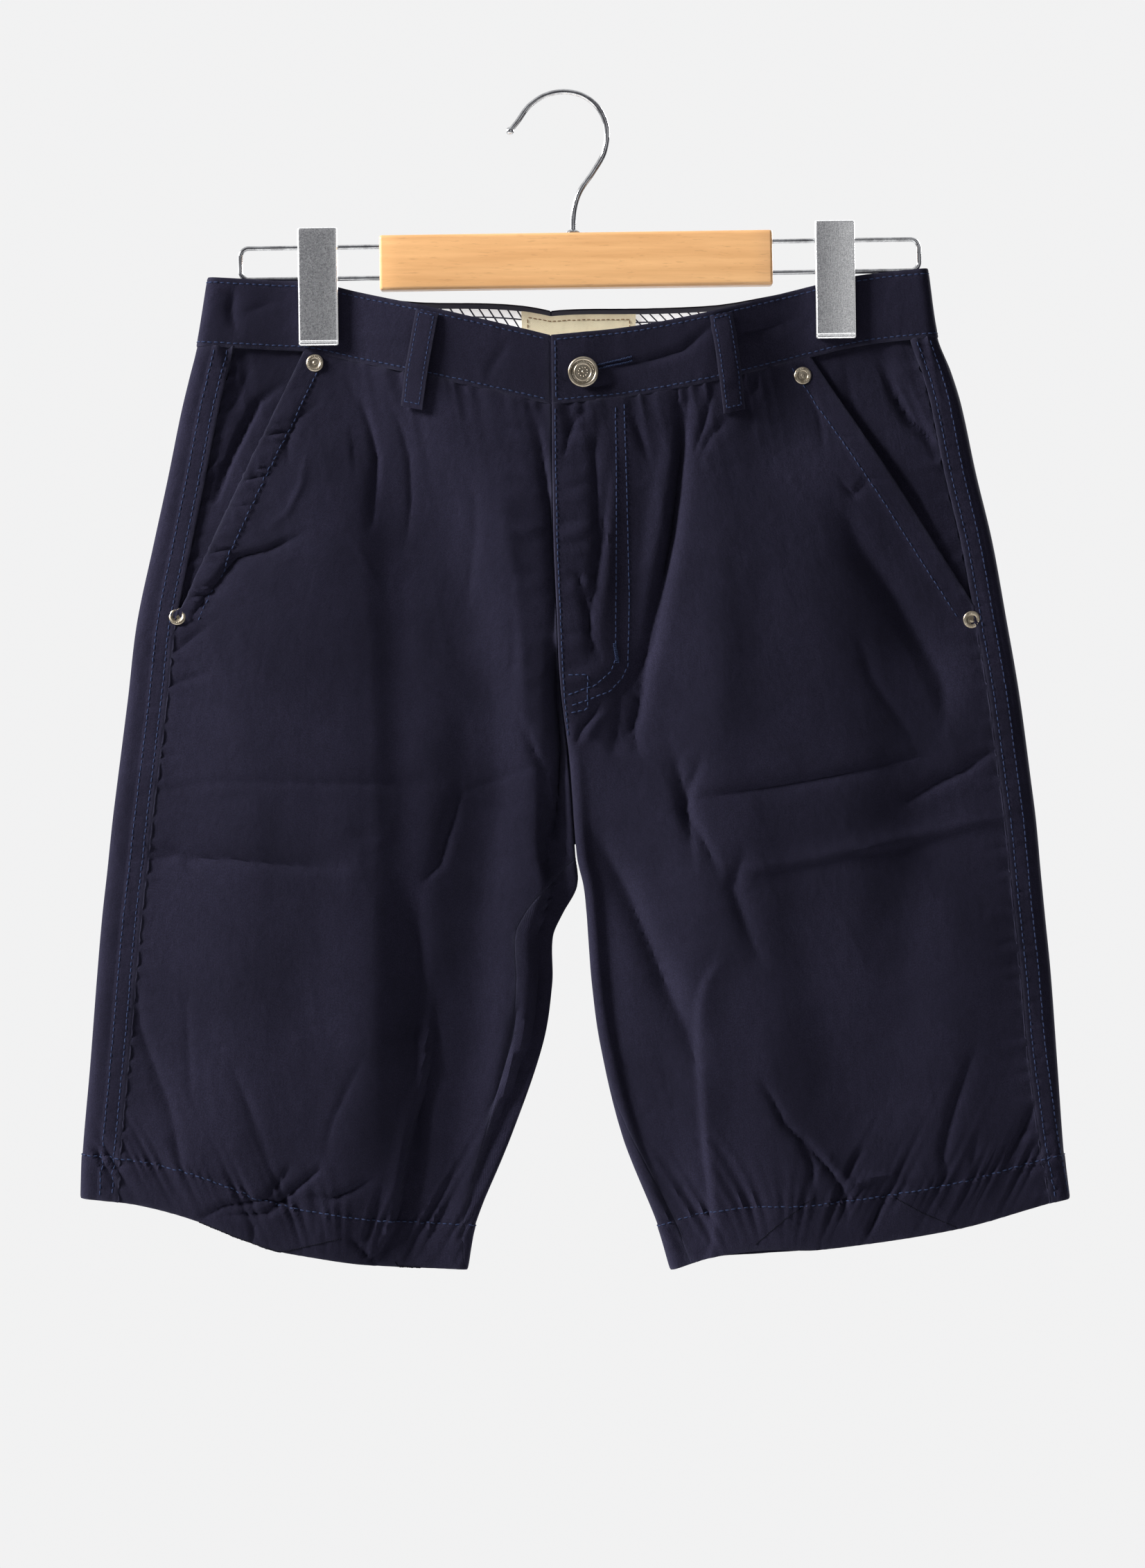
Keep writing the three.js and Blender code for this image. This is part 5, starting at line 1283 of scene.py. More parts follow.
def build_bar():
    """The bar is one block with rounded long edges, drawn as a grid wrapped round its section, which
    narrows a little at each end."""
    r = BAR.corner
    half_y, half_z, half = BAR.thickness / 2, BAR.height / 2, BAR.length / 2
    section = []
    for start, sign_y, sign_z in ((0, 1, 1), (90, -1, 1), (180, -1, -1), (270, 1, -1)):
        for k in range(7):
            a = math.radians(start + 15 * k)
            section.append((sign_y * (half_y - r) + r * math.cos(a), sign_z * (half_z - r) + r * math.sin(a)))
    section = np.array(section)
    ends = [(-half, 0.86), (-half + 0.25, 0.93), (-half + 0.9, 0.985), (-half + 1.8, 1.0)]
    middle = [(x, 1.0) for x in np.linspace(-half + 12, half - 12, 12)]
    stations = ends + middle + [(-x, share) for x, share in ends[::-1]]
    points = []
    for x, share in stations:
        shrink = (1 - share) * 8
        scale = np.array([(half_y - shrink) / half_y, (half_z - shrink) / half_z])
        points += [(BAR.x + x, y, BAR.z + z) for y, z in section * scale]
    n = len(section)
    faces = []
    for k in range(len(stations) - 1):
        for i in range(n):
            j = (i + 1) % n
            faces.append([k * n + i, k * n + j, (k + 1) * n + j, (k + 1) * n + i])
    faces.append(list(range(n))[::-1])
    faces.append([(len(stations) - 1) * n + i for i in range(n)])
    add_mesh("wood_bar", tilted(points), faces, wood_material(), "varnished_wood", sharp=60,
             replaced=("hanger_bar",))


def clip_section(half, depth, radius, count=6):
    """The folded plate's section seen from above: a flange, a rounded corner, the web, and back."""
    line = [(-half, -0.9)]
    for k in range(count + 1):
        a = math.pi + k * math.pi / 2 / count
        line.append((-half + radius + radius * math.cos(a), -depth + radius + radius * math.sin(a)))
    return np.array(line + [(-x, y) for x, y in line[::-1]])


def clip_plates(stations, half):
    """The outer and the inner face of one half clip, as a row of section points for each height. The
    flanges are cut back round the rail by a half circle."""
    outer, inner = [], []
    for z in stations:
        end = max(0, 1 - min(CLIP.top - z, z - CLIP.bottom) / 1.0)
        section = clip_section(half - 0.8 * end**2, CLIP.depth - 0.7 * end**2, CLIP.corner)
        reach = CLIP.flange
        if -4.5 < z < 4.2:
            gap = math.sqrt(max(0.0, 1 - (z / CLIP.rail_gap) ** 2))
            reach = -1.9 * gap + CLIP.flange * (1 - gap)
        section[0, 1] = section[-1, 1] = reach
        centre = section * [1 - CLIP.plate / half, 1]
        inwards = np.clip((-section[1:-1, 1] + CLIP.flange) / 3.7, 0, 1)
        centre[1:-1, 1] = section[1:-1, 1] + CLIP.plate * inwards
        outer.append(section)
        inner.append(centre)
    return np.array(outer), np.array(inner)


def clip_jaw(half):
    """The lip at the clip's foot that grips the cloth: a plain block."""
    xs, ys, zs = (-half + 1.4, half - 1.4), (-8.1, -4.35), (-40.1, -37.7)
    corners = np.array([[x, y, z] for x in xs for y in ys for z in zs])
    return corners, [[0, 1, 3, 2], [4, 6, 7, 5], [0, 4, 5, 1], [2, 3, 7, 6], [0, 2, 6, 4], [1, 5, 7, 3]]


def build_clip(side):
    """Each half clip is a pressed pan: a web with rounded corners into two flanges, a groove pressed
    across its foot, and the jaw's lip. The back one is the front one turned about Z."""
    stations = np.concatenate([[29.5, 29.3, 28.9], np.linspace(28, -37.2, 34),
                               [-37.6, -37.9, -38.2, -38.6, -39.2, -39.8, -40.1, -40.2]])
    halves = (("front", CLIP.half, [1, 1, 1]), ("back", CLIP.half - CLIP.back_inset, [-1, -1, 1]))
    for which, half, turn in halves:
        outer, inner = clip_plates(stations, half)
        groove = 0.7 * np.exp(-((stations + 37.9) / 0.4) ** 2)[:, None]
        press = groove * (np.abs(outer[..., 0]) < half - 0.4)
        z = np.repeat(stations[:, None], outer.shape[1], 1)
        plates = [np.stack([g[..., 0], g[..., 1] + press, z], -1).reshape(-1, 3) for g in (outer, inner)]
        faces = wall_faces(*outer.shape[:2], False, False).tolist()
        points, faces = joined([(np.concatenate(plates), faces), clip_jaw(half)])
        points = points * turn + [CLIP_X[side], 0, RAIL.bottom]
        piece = add_steel(f"metal_clip_{which}_{side}", points, faces, f"clip_{which}_{side}", 32,
                          clip_painted_glint_material())
        bevelled(piece, 0.22, 50)


def carry_springs():
    """The CAD model's springs are kept, with the clips' metal and its painted highlight."""
    for side in SIDES:
        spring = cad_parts[f"clip_spring_{side}"]
        spring.data.materials.clear()
        spring.data.materials.append(clip_painted_glint_material())
        bevelled(spring, 0.25)


# Materials

BLACK = (0, 0, 0)
WHITE = (1, 1, 1)
# The pale tone of the cloth's edges: partly faded by use, partly painted highlight.
WORN_AND_LIT_EDGE = (0.085, 0.088, 0.125)
PALE_FIBRE = (0.09, 0.09, 0.12)
BACKDROP_COLOUR = (0.885, 0.885, 0.888, 1)
RIB_PITCH = 0.62


def get_material(name, build):
    """Each material is made once and shared."""
    found = bpy.data.materials.get(name)
    if found:
        return found
    material = bpy.data.materials.new(name)
    material.use_nodes = True
    nodes, links = material.node_tree.nodes, material.node_tree.links
    nodes.clear()
    output = nodes.new("ShaderNodeOutputMaterial")
    shader = nodes.new("ShaderNodeBsdfPrincipled")
    links.new(shader.outputs[0], output.inputs["Surface"])
    build(SimpleNamespace(nodes=nodes, links=links, shader=shader, output=output))
    return material


def plug(tree, target, values):
    """Links each value that comes from a node to the input of its name, and sets the others there."""
    for key, value in values.items():
        if isinstance(value, bpy.types.NodeSocket):
            tree.links.new(value, target.inputs[key])
        else:
            target.inputs[key].default_value = value


def node(tree, kind, values=None, **props):
    made = tree.nodes.new(kind)
    for name, value in props.items():
        setattr(made, name, value)
    plug(tree, made, values or {})
    return made


def math_node(tree, operation, *values):
    return node(tree, "ShaderNodeMath", dict(enumerate(values)), operation=operation).outputs[0]


def plus(tree, total, *more):
    for value in more:
        total = math_node(tree, "ADD", total, value)
    return total


def times(tree, value, factor):
    return math_node(tree, "MULTIPLY", value, factor)


def ramp(tree, fac, stops):
    made = node(tree, "ShaderNodeValToRGB", {0: fac})
    while len(made.color_ramp.elements) < len(stops):
        made.color_ramp.elements.new(0.5)
    for element, (place, colour) in zip(made.color_ramp.elements, stops):
        element.position = place
        element.color = (*colour, 1)
    return made.outputs[0]


def mask(tree, fac, low, high):
    """Black up to low, white from high on, and straight between them."""
    return ramp(tree, fac, [(low, BLACK), (high, WHITE)])


def blend(tree, fac, a, b, mode="MIX"):
    colours = [c if isinstance(c, bpy.types.NodeSocket) else (*c, 1) for c in (a, b)]
    values = {0: fac, 6: colours[0], 7: colours[1]}
    return node(tree, "ShaderNodeMix", values, data_type="RGBA", blend_type=mode).outputs[2]


def own_place(tree):
    return tree.nodes.new("ShaderNodeTexCoord").outputs["Object"]


def stretched(tree, vector, scale):
    return node(tree, "ShaderNodeMapping", {"Vector": vector, "Scale": scale}).outputs[0]


def noise(tree, vector, scale, detail=2.0, rough=0.5):
    values = {"Vector": vector, "Scale": scale, "Detail": detail, "Roughness": rough}
    return node(tree, "ShaderNodeTexNoise", values).outputs[0]


def cloth_place(tree):
    """A place on the cloth: millimetres round the garment and down it, as its UV map holds them."""
    return node(tree, "ShaderNodeUVMap", uv_map="UVMap").outputs[0]


def cloth_noise(tree, across, down, detail=2.0, rough=0.5):
    """Noise that follows the cloth, with its own count of spots to a millimetre each way."""
    return noise(tree, stretched(tree, cloth_place(tree), (across, down, 1)), 1.0, detail, rough)


def bump(tree, height, strength, depth, under=None):
    """The normal of a relief whose depth is in millimetres, on another relief where one is given."""
    values = {"Height": height, "Strength": strength, "Distance": depth * MM}
    if under is not None:
        values["Normal"] = under
    return node(tree, "ShaderNodeBump", values).outputs[0]


def twill(tree, pitch):
    """A fine diagonal rib: a sine of across plus down, broken by threads one way and slubs the other."""
    parts = node(tree, "ShaderNodeSeparateXYZ", {0: cloth_place(tree)})
    across, down = parts.outputs[0], parts.outputs[1]
    rib = times(tree, plus(tree, across, times(tree, down, 0.8)), 2 * math.pi / pitch)
    cross = times(tree, down, 2 * math.pi / (pitch * 0.8))
    threads = times(tree, math_node(tree, "SINE", cross), 0.45)
    slubs = times(tree, cloth_noise(tree, 0.9, 0.12, 3), 1.6)
    return plus(tree, math_node(tree, "SINE", rib), threads, slubs)


def darker(colour, share):
    return tuple(share * part for part in colour)


def cloth_shader(tree, dark, light, rib_depth, edge_wear_and_highlight=0.0):
    """Twill in two tones that cloud into each other, with dark specks and clouds, pale fibres and
    paler edges, faded by use and painted as highlight. Its relief is the rib on a crumple of low waves, fine
    ridges and grit."""
    tone = blend(tree, mask(tree, noise(tree, own_place(tree), 14.0, 3, 0.6), 0.3, 0.7), dark, light)
    tone = blend(tree, times(tree, cloth_noise(tree, 0.5, 0.16, 3), 0.3), tone, light)
    spots = (
        # noise, where its mask starts and ends, how much of the colour it brings, the colour
        ((1.5, 1.1, 3, 0.8), 0.38, 0.62, 0.62, darker(dark, 0.34)),
        ((0.42, 0.2, 4, 0.75), 0.35, 0.65, 0.3, darker(dark, 0.45)),
        ((1.3, 0.6, 4, 0.7), 0.7, 0.8, 0.12, PALE_FIBRE),
    )
    for grain, low, high, share, colour in spots:
        spot = mask(tree, cloth_noise(tree, *grain), low, high)
        tone = blend(tree, times(tree, spot, share), tone, colour)
    # Paler towards the cloth's edges: partly faded by use, partly a painted highlight.
    if edge_wear_and_highlight:
        worn_and_lit_edge = node(tree, "ShaderNodeAttribute", attribute_name="edge_wear_and_highlight").outputs[2]
        tone = blend(tree, times(tree, worn_and_lit_edge, edge_wear_and_highlight), tone, WORN_AND_LIT_EDGE)
    crumple = cloth_noise(tree, 0.16, 0.12, 4, 0.62)
    for across, down, height in ((0.05, 0.024, 0.45), (0.11, 0.06, 0.15)):
        ridge = math_node(tree, "SUBTRACT", cloth_noise(tree, across, down, 3), 0.5)
        ridge = math_node(tree, "MINIMUM", math_node(tree, "ABSOLUTE", ridge), 0.1)
        crumple = plus(tree, crumple, times(tree, ridge, height * 3.0))
    crumple = plus(tree, crumple, times(tree, cloth_noise(tree, 0.7, 0.45, 3, 0.7), 0.16))
    plug(tree, tree.shader, {
        "Base Color": tone, "Roughness": 0.92, "Specular IOR Level": 0.06,
        "Sheen Weight": 0.05, "Sheen Roughness": 0.45, "Sheen Tint": (0.5, 0.5, 0.8, 1),
        "Normal": bump(tree, twill(tree, RIB_PITCH), 0.6, rib_depth, bump(tree, crumple, 0.55, 1.2))})


def cloth_material():
    return get_material("navy_twill", lambda tree: cloth_shader(
        tree, (0.0146, 0.0136, 0.0272), (0.0268, 0.0246, 0.0486), 0.14, 0.2))


def shade_material():
    return get_material("navy_shadow", lambda tree: cloth_shader(
        tree, (0.006, 0.006, 0.011), (0.009, 0.009, 0.015), 0.06))


def thread_shader(tree, dark, light, roughness, specular):
    """Two tones in small spots, and a fine twist in relief."""
    place = own_place(tree)
    plug(tree, tree.shader, {
        "Base Color": blend(tree, noise(tree, place, 400.0), dark, light), "Roughness": roughness,
        "Specular IOR Level": specular, "Normal": bump(tree, noise(tree, place, 2600.0, 1), 0.4, 0.1)})


def thread_material():
    return get_material("navy_thread", lambda tree: thread_shader(
        tree, (0.019, 0.027, 0.062), (0.036, 0.050, 0.105), 0.85, 0.06))


def label_thread():
    return get_material("brown_thread", lambda tree: thread_shader(
        tree, (0.22, 0.13, 0.06), (0.36, 0.24, 0.12), 0.6, 0.5))


def glowing_cloth(tree, tone, glow, roughness, sheen, relief_socket):
    """Pale cloth that glows a little: painted light that brightens it where it lies in shade."""
    plug(tree, tree.shader, {
        "Base Color": tone, "Emission Color": tone, "Emission Strength": glow,
        "Roughness": roughness, "Sheen Weight": sheen, "Normal": relief_socket})


def stripe_shader(tree):
    """White poplin with thin slanting navy pinstripes, a navy border at its top and a line under it."""
    parts = node(tree, "ShaderNodeSeparateXYZ", {0: cloth_place(tree)})
    across, drop = parts.outputs[0], parts.outputs[1]
    slant = plus(tree, times(tree, across, 0.77), times(tree, drop, -0.64))
    cycle = math_node(tree, "FRACT", math_node(tree, "DIVIDE", slant, 4.4))
    stripe = math_node(tree, "LESS_THAN", cycle, 0.21)
    border = math_node(tree, "LESS_THAN", drop, -37.4)
    line = math_node(tree, "COMPARE", drop, -32.6, 0.45)
    mark = math_node(tree, "MAXIMUM", math_node(tree, "MAXIMUM", stripe, border), line)
    white = blend(tree, cloth_noise(tree, 0.3, 0.3, 3), (0.80, 0.80, 0.82), (0.90, 0.90, 0.90))
    tone = blend(tree, times(tree, mark, 0.98), white, (0.006, 0.006, 0.016))
    # The lining glows at half strength: painted light that keeps it white in the band's shade.
    glowing_cloth(tree, tone, 0.5, 0.85, 0.15, bump(tree, twill(tree, 0.42), 0.35, 0.05))


def stripe_material():
    return get_material("striped_poplin", stripe_shader)


def label_shader(tree):
    """Cream cloth with soft clouds and a little grime."""
    cloud = cloth_noise(tree, 0.12, 0.12, 4, 0.6)
    tone = blend(tree, cloud, (0.60, 0.52, 0.36), (0.74, 0.66, 0.48))
    grime = mask(tree, cloth_noise(tree, 0.5, 0.5, 4, 0.65), 0.52, 0.75)
    tone = blend(tree, times(tree, grime, 0.3), tone, (0.5, 0.4, 0.27))
    # The label glows a little: painted light that lifts it out of the shade.
    glowing_cloth(tree, tone, 0.22, 0.9, 0.2, bump(tree, twill(tree, 0.9), 0.6, 0.09))


def label_material():
    return get_material("cream_cloth", label_shader)


def metal_shader(tree, dark, light, rough, scratch, dent, grain=120.0):
    """Metal that clouds between two tones and two roughnesses, with shallow dents and scratches."""
    place = own_place(tree)
    tone = blend(tree, mask(tree, noise(tree, place, grain, 5, 0.8), 0.35, 0.62), dark, light)
    low, high = rough
    fine = noise(tree, stretched(tree, place, (1, 1, 0.08)), 2200.0, 1)
    height = plus(tree, times(tree, noise(tree, place, 160.0), dent), times(tree, fine, scratch))
    plug(tree, tree.shader, {
        "Base Color": tone, "Metallic": 1.0, "Normal": bump(tree, height, 0.4, 0.4),
        "Roughness": plus(tree, times(tree, noise(tree, place, 900.0, 3), high - low), low)})
    return tone


def aged_shader(tree):
    """Old silver, darkened in its hollows."""
    tone = metal_shader(tree, (0.22, 0.18, 0.125), (0.50, 0.44, 0.35), (0.24, 0.42), 0.15, 0.3)
    hollow = node(tree, "ShaderNodeAmbientOcclusion", {"Distance": 1.2 * MM}, samples=4)
    shade = ramp(tree, hollow.outputs[1], [(0.35, (0.03, 0.026, 0.02)), (0.8, WHITE)])
    plug(tree, tree.shader, {"Base Color": blend(tree, 1.0, tone, shade, "MULTIPLY")})


def aged_material():
    return get_material("aged_silver", aged_shader)


def chrome_material():
    return get_material("bright_chrome", lambda tree: metal_shader(
        tree, (0.34, 0.34, 0.35), (0.66, 0.67, 0.68), (0.06, 0.16), 0.1, 0.12))


def clip_painted_glint_shader(tree):
    """A scuffed plate, dark and speckled. It glows where its faces turn between the web and the flanges: a
    painted highlight on its rounded corners.
    """
    metal_shader(tree, (0.40, 0.41, 0.42), WHITE, (0.16, 0.42), 0.3, 0.3, 1300.0)
    # Painted highlight: an emission that is strongest where the faces turn between the web and the flanges.
    normal = node(tree, "ShaderNodeNewGeometry").outputs["Normal"]
    facing = math_node(tree, "ABSOLUTE", node(tree, "ShaderNodeSeparateXYZ", {0: normal}).outputs[1])
    stops = [(0.1, BLACK), (0.35, WHITE), (0.88, (0.6, 0.6, 0.6)), (0.97, (0.05, 0.05, 0.05))]
    plug(tree, tree.shader, {"Emission Color": ramp(tree, facing, stops), "Emission Strength": 0.5})


def clip_painted_glint_material():
    return get_material("clip_chrome_painted_glint", clip_painted_glint_shader)


def wood_shader(tree):
    """Beech: long grain streaks along X, short flecks, and a clear varnish that softens the light."""
    place = own_place(tree)
    grain = noise(tree, stretched(tree, place, (9, 160, 160)), 1.0, 4, 0.6)
    fleck = mask(tree, noise(tree, stretched(tree, place, (140, 1100, 1100)), 1.0), 0.62, 0.72)
    wide = noise(tree, stretched(tree, place, (6, 40, 40)), 1.0)
    tone = blend(tree, mask(tree, grain, 0.3, 0.7), (0.71, 0.355, 0.135), (0.92, 0.52, 0.225))
    tone = blend(tree, times(tree, fleck, 0.35), tone, (0.46, 0.2, 0.07))
    tone = blend(tree, times(tree, wide, 0.25), tone, (0.92, 0.58, 0.30))
    plug(tree, tree.shader, {
        "Base Color": tone, "Roughness": 0.42, "Coat Weight": 0.5, "Coat Roughness": 0.12,
        "Normal": bump(tree, grain, 0.25, 0.4)})


def wood_material():
    return get_material("varnished_beech", wood_shader)


def floor_shader(tree):
    """The floor lights and shades as pale card, and is seen nearly as bright as the backdrop."""
    plug(tree, tree.shader, {"Base Color": (0.86, 0.86, 0.86, 1), "Roughness": 0.9})
    path = tree.nodes.new("ShaderNodeLightPath")
    glow = node(tree, "ShaderNodeEmission", {0: BACKDROP_COLOUR, 1: 1.0})
    share = times(tree, path.outputs["Is Camera Ray"], 0.88)
    seen = node(tree, "ShaderNodeMixShader", {0: share, 1: tree.shader.outputs[0], 2: glow.outputs[0]})
    plug(tree, tree.output, {"Surface": seen.outputs[0]})


# The stage

FLOOR_REACH = 3000
FLOOR_LEVEL = -1600
FLOOR_CORNERS = 96
LIGHT_AIM = (0.0, 0.0, -0.4)
CAMERA_PLACE = (0.0051, -2.5, -0.408)
REFLECTED_ROOM = 3.6


def build_room(room_light):
    """The room is brighter to one side, above and behind, brighter still in reflections, and is
    seen as a plain pale backdrop."""
    world = bpy.data.worlds.new("pale_room")
    bpy.context.scene.world = world
    world.use_nodes = True
    tree = SimpleNamespace(nodes=world.node_tree.nodes, links=world.node_tree.links)
    tree.nodes.clear()
    output = tree.nodes.new("ShaderNodeOutputWorld")
    coordinates = tree.nodes.new("ShaderNodeTexCoord")
    x, y, z = node(tree, "ShaderNodeSeparateXYZ", {0: coordinates.outputs["Generated"]}).outputs
    side = plus(tree, times(tree, x, -0.3), times(tree, z, 0.35), times(tree, y, 0.35), 0.5)
    fade = ramp(tree, side, [(0.1, (0.07, 0.07, 0.08)), (0.4, (0.2, 0.2, 0.22)),
                             (0.6, (0.55, 0.55, 0.56)), (0.8, (0.95, 0.95, 0.96))])
    path = tree.nodes.new("ShaderNodeLightPath")
    gloss = times(tree, path.outputs["Is Glossy Ray"], REFLECTED_ROOM)
    lit = node(tree, "ShaderNodeBackground", {0: fade, 1: times(tree, plus(tree, gloss, 1.0), room_light)})
    seen = node(tree, "ShaderNodeBackground", {0: BACKDROP_COLOUR, 1: 1.0})
    shaders = {0: path.outputs["Is Camera Ray"], 1: lit.outputs[0], 2: seen.outputs[0]}
    plug(tree, output, {"Surface": node(tree, "ShaderNodeMixShader", shaders).outputs[0]})


def place_in_scene(name, data):
    made = bpy.data.objects.new(name, data)
    bpy.context.scene.collection.objects.link(made)
    return made


def build_lights(stage):
    lights = (
        # name, place and size in metres, power
        ("key", (-2.5, -0.8, 1.05), 0.8, stage.key_power),
        ("fill", (1.2, -2.6, 0.1), 1.8, stage.fill_power),
        ("rim", (-1.4, 1.1, 0.3), 0.9, stage.rim_power),
        ("back", (1.9, 2.3, 0.9), 1.2, stage.back_power),
    )
    for name, place, size, power in lights:
        data = bpy.data.lights.new(name, "AREA")
        data.energy = power
        data.size = size
        lamp = place_in_scene(name, data)
        lamp.location = place
        away = np.array(place) - np.array(LIGHT_AIM)
        tip = math.atan2(math.hypot(away[0], away[1]), away[2])
        lamp.rotation_euler = (tip, 0, math.atan2(away[0], -away[1]))


def build_floor():
    """A pale disc far below the shorts."""
    angle = np.arange(FLOOR_CORNERS) * 2 * math.pi / FLOOR_CORNERS
    x, y = FLOOR_REACH * np.cos(angle), FLOOR_REACH * np.sin(angle)
    points = np.stack([x, y, 0 * angle + FLOOR_LEVEL], -1)
    mesh = bpy.data.meshes.new("floor")
    mesh.from_pydata((points * MM).tolist(), [], [list(range(FLOOR_CORNERS))])
    mesh.materials.append(get_material("pale_floor", floor_shader))
    place_in_scene("floor", mesh)


def build_camera():
    camera = bpy.data.cameras.new("camera")
    camera.lens = 97.0
    camera.sensor_width = 36.0
    camera.clip_end = 50
    eye = place_in_scene("camera", camera)
    eye.location = CAMERA_PLACE
    eye.rotation_euler = (math.pi / 2, 0, 0)
    bpy.context.scene.camera = eye
    bpy.context.scene.view_settings.view_transform = "Standard"


def build_stage(stage):
    build_room(stage.room_light)
    build_lights(stage)
    build_floor()
    build_camera()


# The add-on

class ShortsCloth(bpy.types.PropertyGroup):
    """The cloth of the shorts."""

    thickness: bpy.props.FloatProperty(
        name="Cloth thickness", description="Thickness of one layer, in millimetres",
        default=1.2, min=0.6, max=2.0)
    crease_scale: bpy.props.FloatProperty(
        name="Crease height", description="Height of the hand-laid creases against the drawn ones",
        default=1.75, min=0, max=2)
    pucker_scale: bpy.props.FloatProperty(
        name="Pucker height", description="Height of the puckers at the seams",
        default=2.6, min=0, max=3)
    row_step: bpy.props.FloatProperty(
        name="Row step", description="Height of one row of the mesh, in millimetres",
        default=2.0, min=1, max=10)
    column_count: bpy.props.IntProperty(
        name="Columns", description="Columns across one face of a leg",
        default=100, min=20, max=140)


class ShortsThread(bpy.types.PropertyGroup):
    """The navy stitching."""

    length: bpy.props.FloatProperty(
        name="Stitch length", description="Length of one stitch, in millimetres",
        default=2.9, min=1, max=5)
    gap: bpy.props.FloatProperty(
        name="Stitch gap", description="Gap between stitches, in millimetres",
        default=0.9, min=0.1, max=3)
    width: bpy.props.FloatProperty(
        name="Thread radius", description="Half the width of the thread, in millimetres",
        default=0.36, min=0.1, max=0.6)


class ShortsStage(bpy.types.PropertyGroup):
    """The lights and the room."""

    key_power: bpy.props.FloatProperty(
        name="Key light", description="Power of the light at the upper left",
        default=215, min=0, unit="POWER")
    fill_power: bpy.props.FloatProperty(
        name="Fill light", description="Power of the soft light at the right",
        default=6, min=0, unit="POWER")
    rim_power: bpy.props.FloatProperty(
        name="Rim light", description="Power of the light behind at the left",
        default=10, min=0, unit="POWER")
    back_power: bpy.props.FloatProperty(
        name="Back light", description="Power of the light on the back",
        default=130, min=0, unit="POWER")
    room_light: bpy.props.FloatProperty(
        name="Room light", description="Strength of the light from the pale room",
        default=0.2, min=0, max=3)


class SHORTS_OT_fronts(bpy.types.Operator):
    """Builds the two front panels and the pocket facings behind their slanting edges"""

    bl_idname = "shorts.fronts"
    bl_label = "Front panels"

    def execute(self, context):
        cloth = context.scene.shorts_cloth
        build_fronts(cloth)
        build_facings(cloth)
        return {"FINISHED"}


class SHORTS_OT_backs(bpy.types.Operator):
    """Builds the two back panels, which come round the side folds to the side seams"""

    bl_idname = "shorts.backs"
    bl_label = "Back panels"

    def execute(self, context):
        build_backs(context.scene.shorts_cloth)
        build_underlaps(context.scene.shorts_cloth)
        return {"FINISHED"}


class SHORTS_OT_waistband(bpy.types.Operator):
    """Builds the waistband, its striped lining and the cream label"""

    bl_idname = "shorts.waistband"
    bl_label = "Waistband"

    def execute(self, context):
        build_waistbands(context.scene.shorts_cloth)
        build_label(context.scene.shorts_cloth)
        return {"FINISHED"}


class SHORTS_OT_hems(bpy.types.Operator):
    """Builds the turned-up hem inside each leg"""

    bl_idname = "shorts.hems"
    bl_label = "Hems"

    def execute(self, context):
        build_hem_facings(context.scene.shorts_cloth)
        return {"FINISHED"}


class SHORTS_OT_loops(bpy.types.Operator):
    """Builds the five belt loops with their edge stitching and tacks"""

    bl_idname = "shorts.loops"
    bl_label = "Belt loops"

    def execute(self, context):
        build_loops(context.scene.shorts_cloth)
        return {"FINISHED"}


class SHORTS_OT_stitching(bpy.types.Operator):
    """Lays the rows of stitching along the seams, pockets, fly, waist and hems"""

    bl_idname = "shorts.stitching"
    bl_label = "Stitching"

    def execute(self, context):
        build_stitching(context.scene.shorts_cloth, context.scene.shorts_thread)
        return {"FINISHED"}


class SHORTS_OT_studs(bpy.types.Operator):
    """Builds the waist button and the four pocket rivets"""

    bl_idname = "shorts.studs"
    bl_label = "Button and rivets"

    def execute(self, context):
        build_studs(context.scene.shorts_cloth)
        return {"FINISHED"}


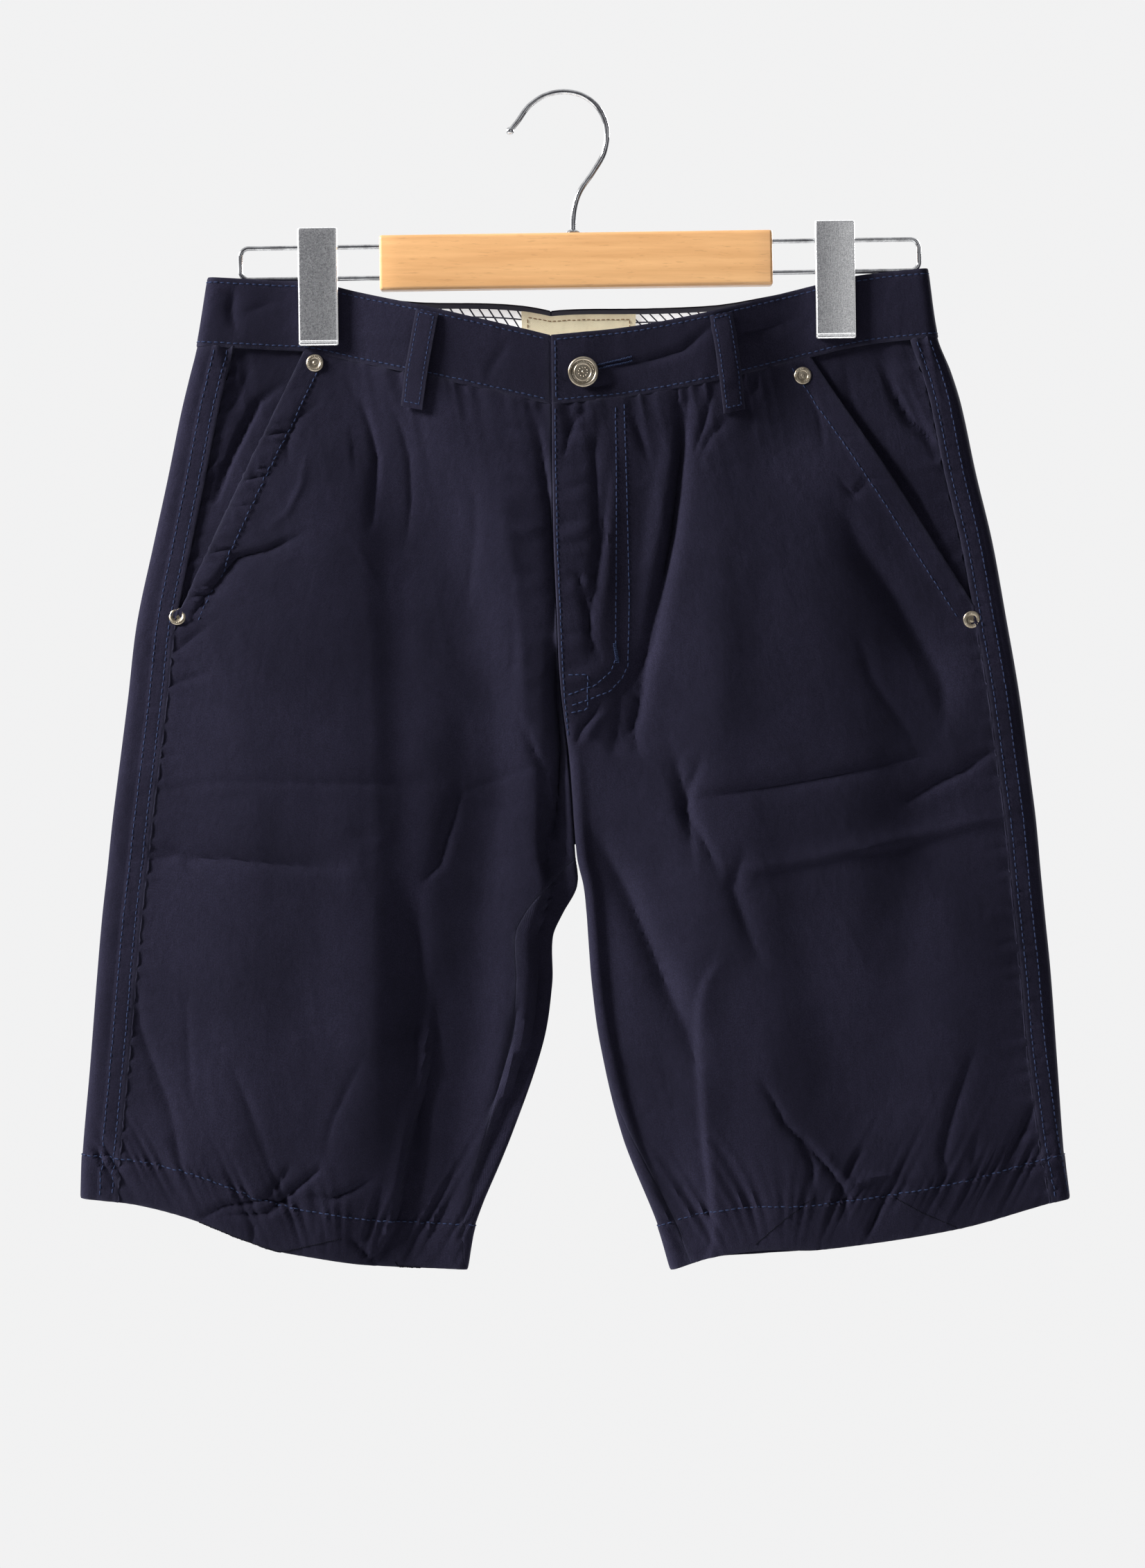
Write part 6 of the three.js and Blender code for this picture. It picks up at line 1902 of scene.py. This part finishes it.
class SHORTS_OT_hanger(bpy.types.Operator):
    """Builds the hanger's hook, ferrule, bar, rails and clips"""

    bl_idname = "shorts.hanger"
    bl_label = "Clip hanger"

    def execute(self, context):
        build_hook()
        build_rails()
        build_bar()
        for side in SIDES:
            build_clip(side)
        carry_springs()
        return {"FINISHED"}


class SHORTS_OT_stage(bpy.types.Operator):
    """Sets up the room, the lights, the floor and the camera"""

    bl_idname = "shorts.stage"
    bl_label = "Stage"

    def execute(self, context):
        build_stage(context.scene.shorts_stage)
        return {"FINISHED"}


OPERATORS = (SHORTS_OT_fronts, SHORTS_OT_backs, SHORTS_OT_waistband, SHORTS_OT_hems, SHORTS_OT_loops,
             SHORTS_OT_stitching, SHORTS_OT_studs, SHORTS_OT_hanger, SHORTS_OT_stage)


class SHORTS_PT_panel(bpy.types.Panel):
    """The shorts' settings and building steps."""

    bl_idname = "SHORTS_PT_panel"
    bl_label = "Bermuda shorts"
    bl_space_type = "VIEW_3D"
    bl_region_type = "UI"
    bl_category = "Shorts"

    def draw(self, context):
        for name in ("shorts_cloth", "shorts_thread", "shorts_stage"):
            group = getattr(context.scene, name)
            box = self.layout.box()
            for prop in type(group).__annotations__:
                box.prop(group, prop)
        for operator in OPERATORS:
            self.layout.operator(operator.bl_idname)


GROUPS = (("shorts_cloth", ShortsCloth), ("shorts_thread", ShortsThread), ("shorts_stage", ShortsStage))


def register():
    for name, group in GROUPS:
        bpy.utils.register_class(group)
        setattr(bpy.types.Scene, name, bpy.props.PointerProperty(type=group))
    for operator in OPERATORS:
        bpy.utils.register_class(operator)
    bpy.utils.register_class(SHORTS_PT_panel)


def unregister():
    bpy.utils.unregister_class(SHORTS_PT_panel)
    for operator in reversed(OPERATORS):
        bpy.utils.unregister_class(operator)
    for name, group in GROUPS:
        delattr(bpy.types.Scene, name)
        bpy.utils.unregister_class(group)


def main():
    register()
    bpy.ops.shorts.fronts()
    bpy.ops.shorts.backs()
    bpy.ops.shorts.waistband()
    bpy.ops.shorts.hems()
    bpy.ops.shorts.loops()
    bpy.ops.shorts.stitching()
    bpy.ops.shorts.studs()
    bpy.ops.shorts.hanger()
    bpy.ops.shorts.stage()


if __name__ == "__main__":
    main()
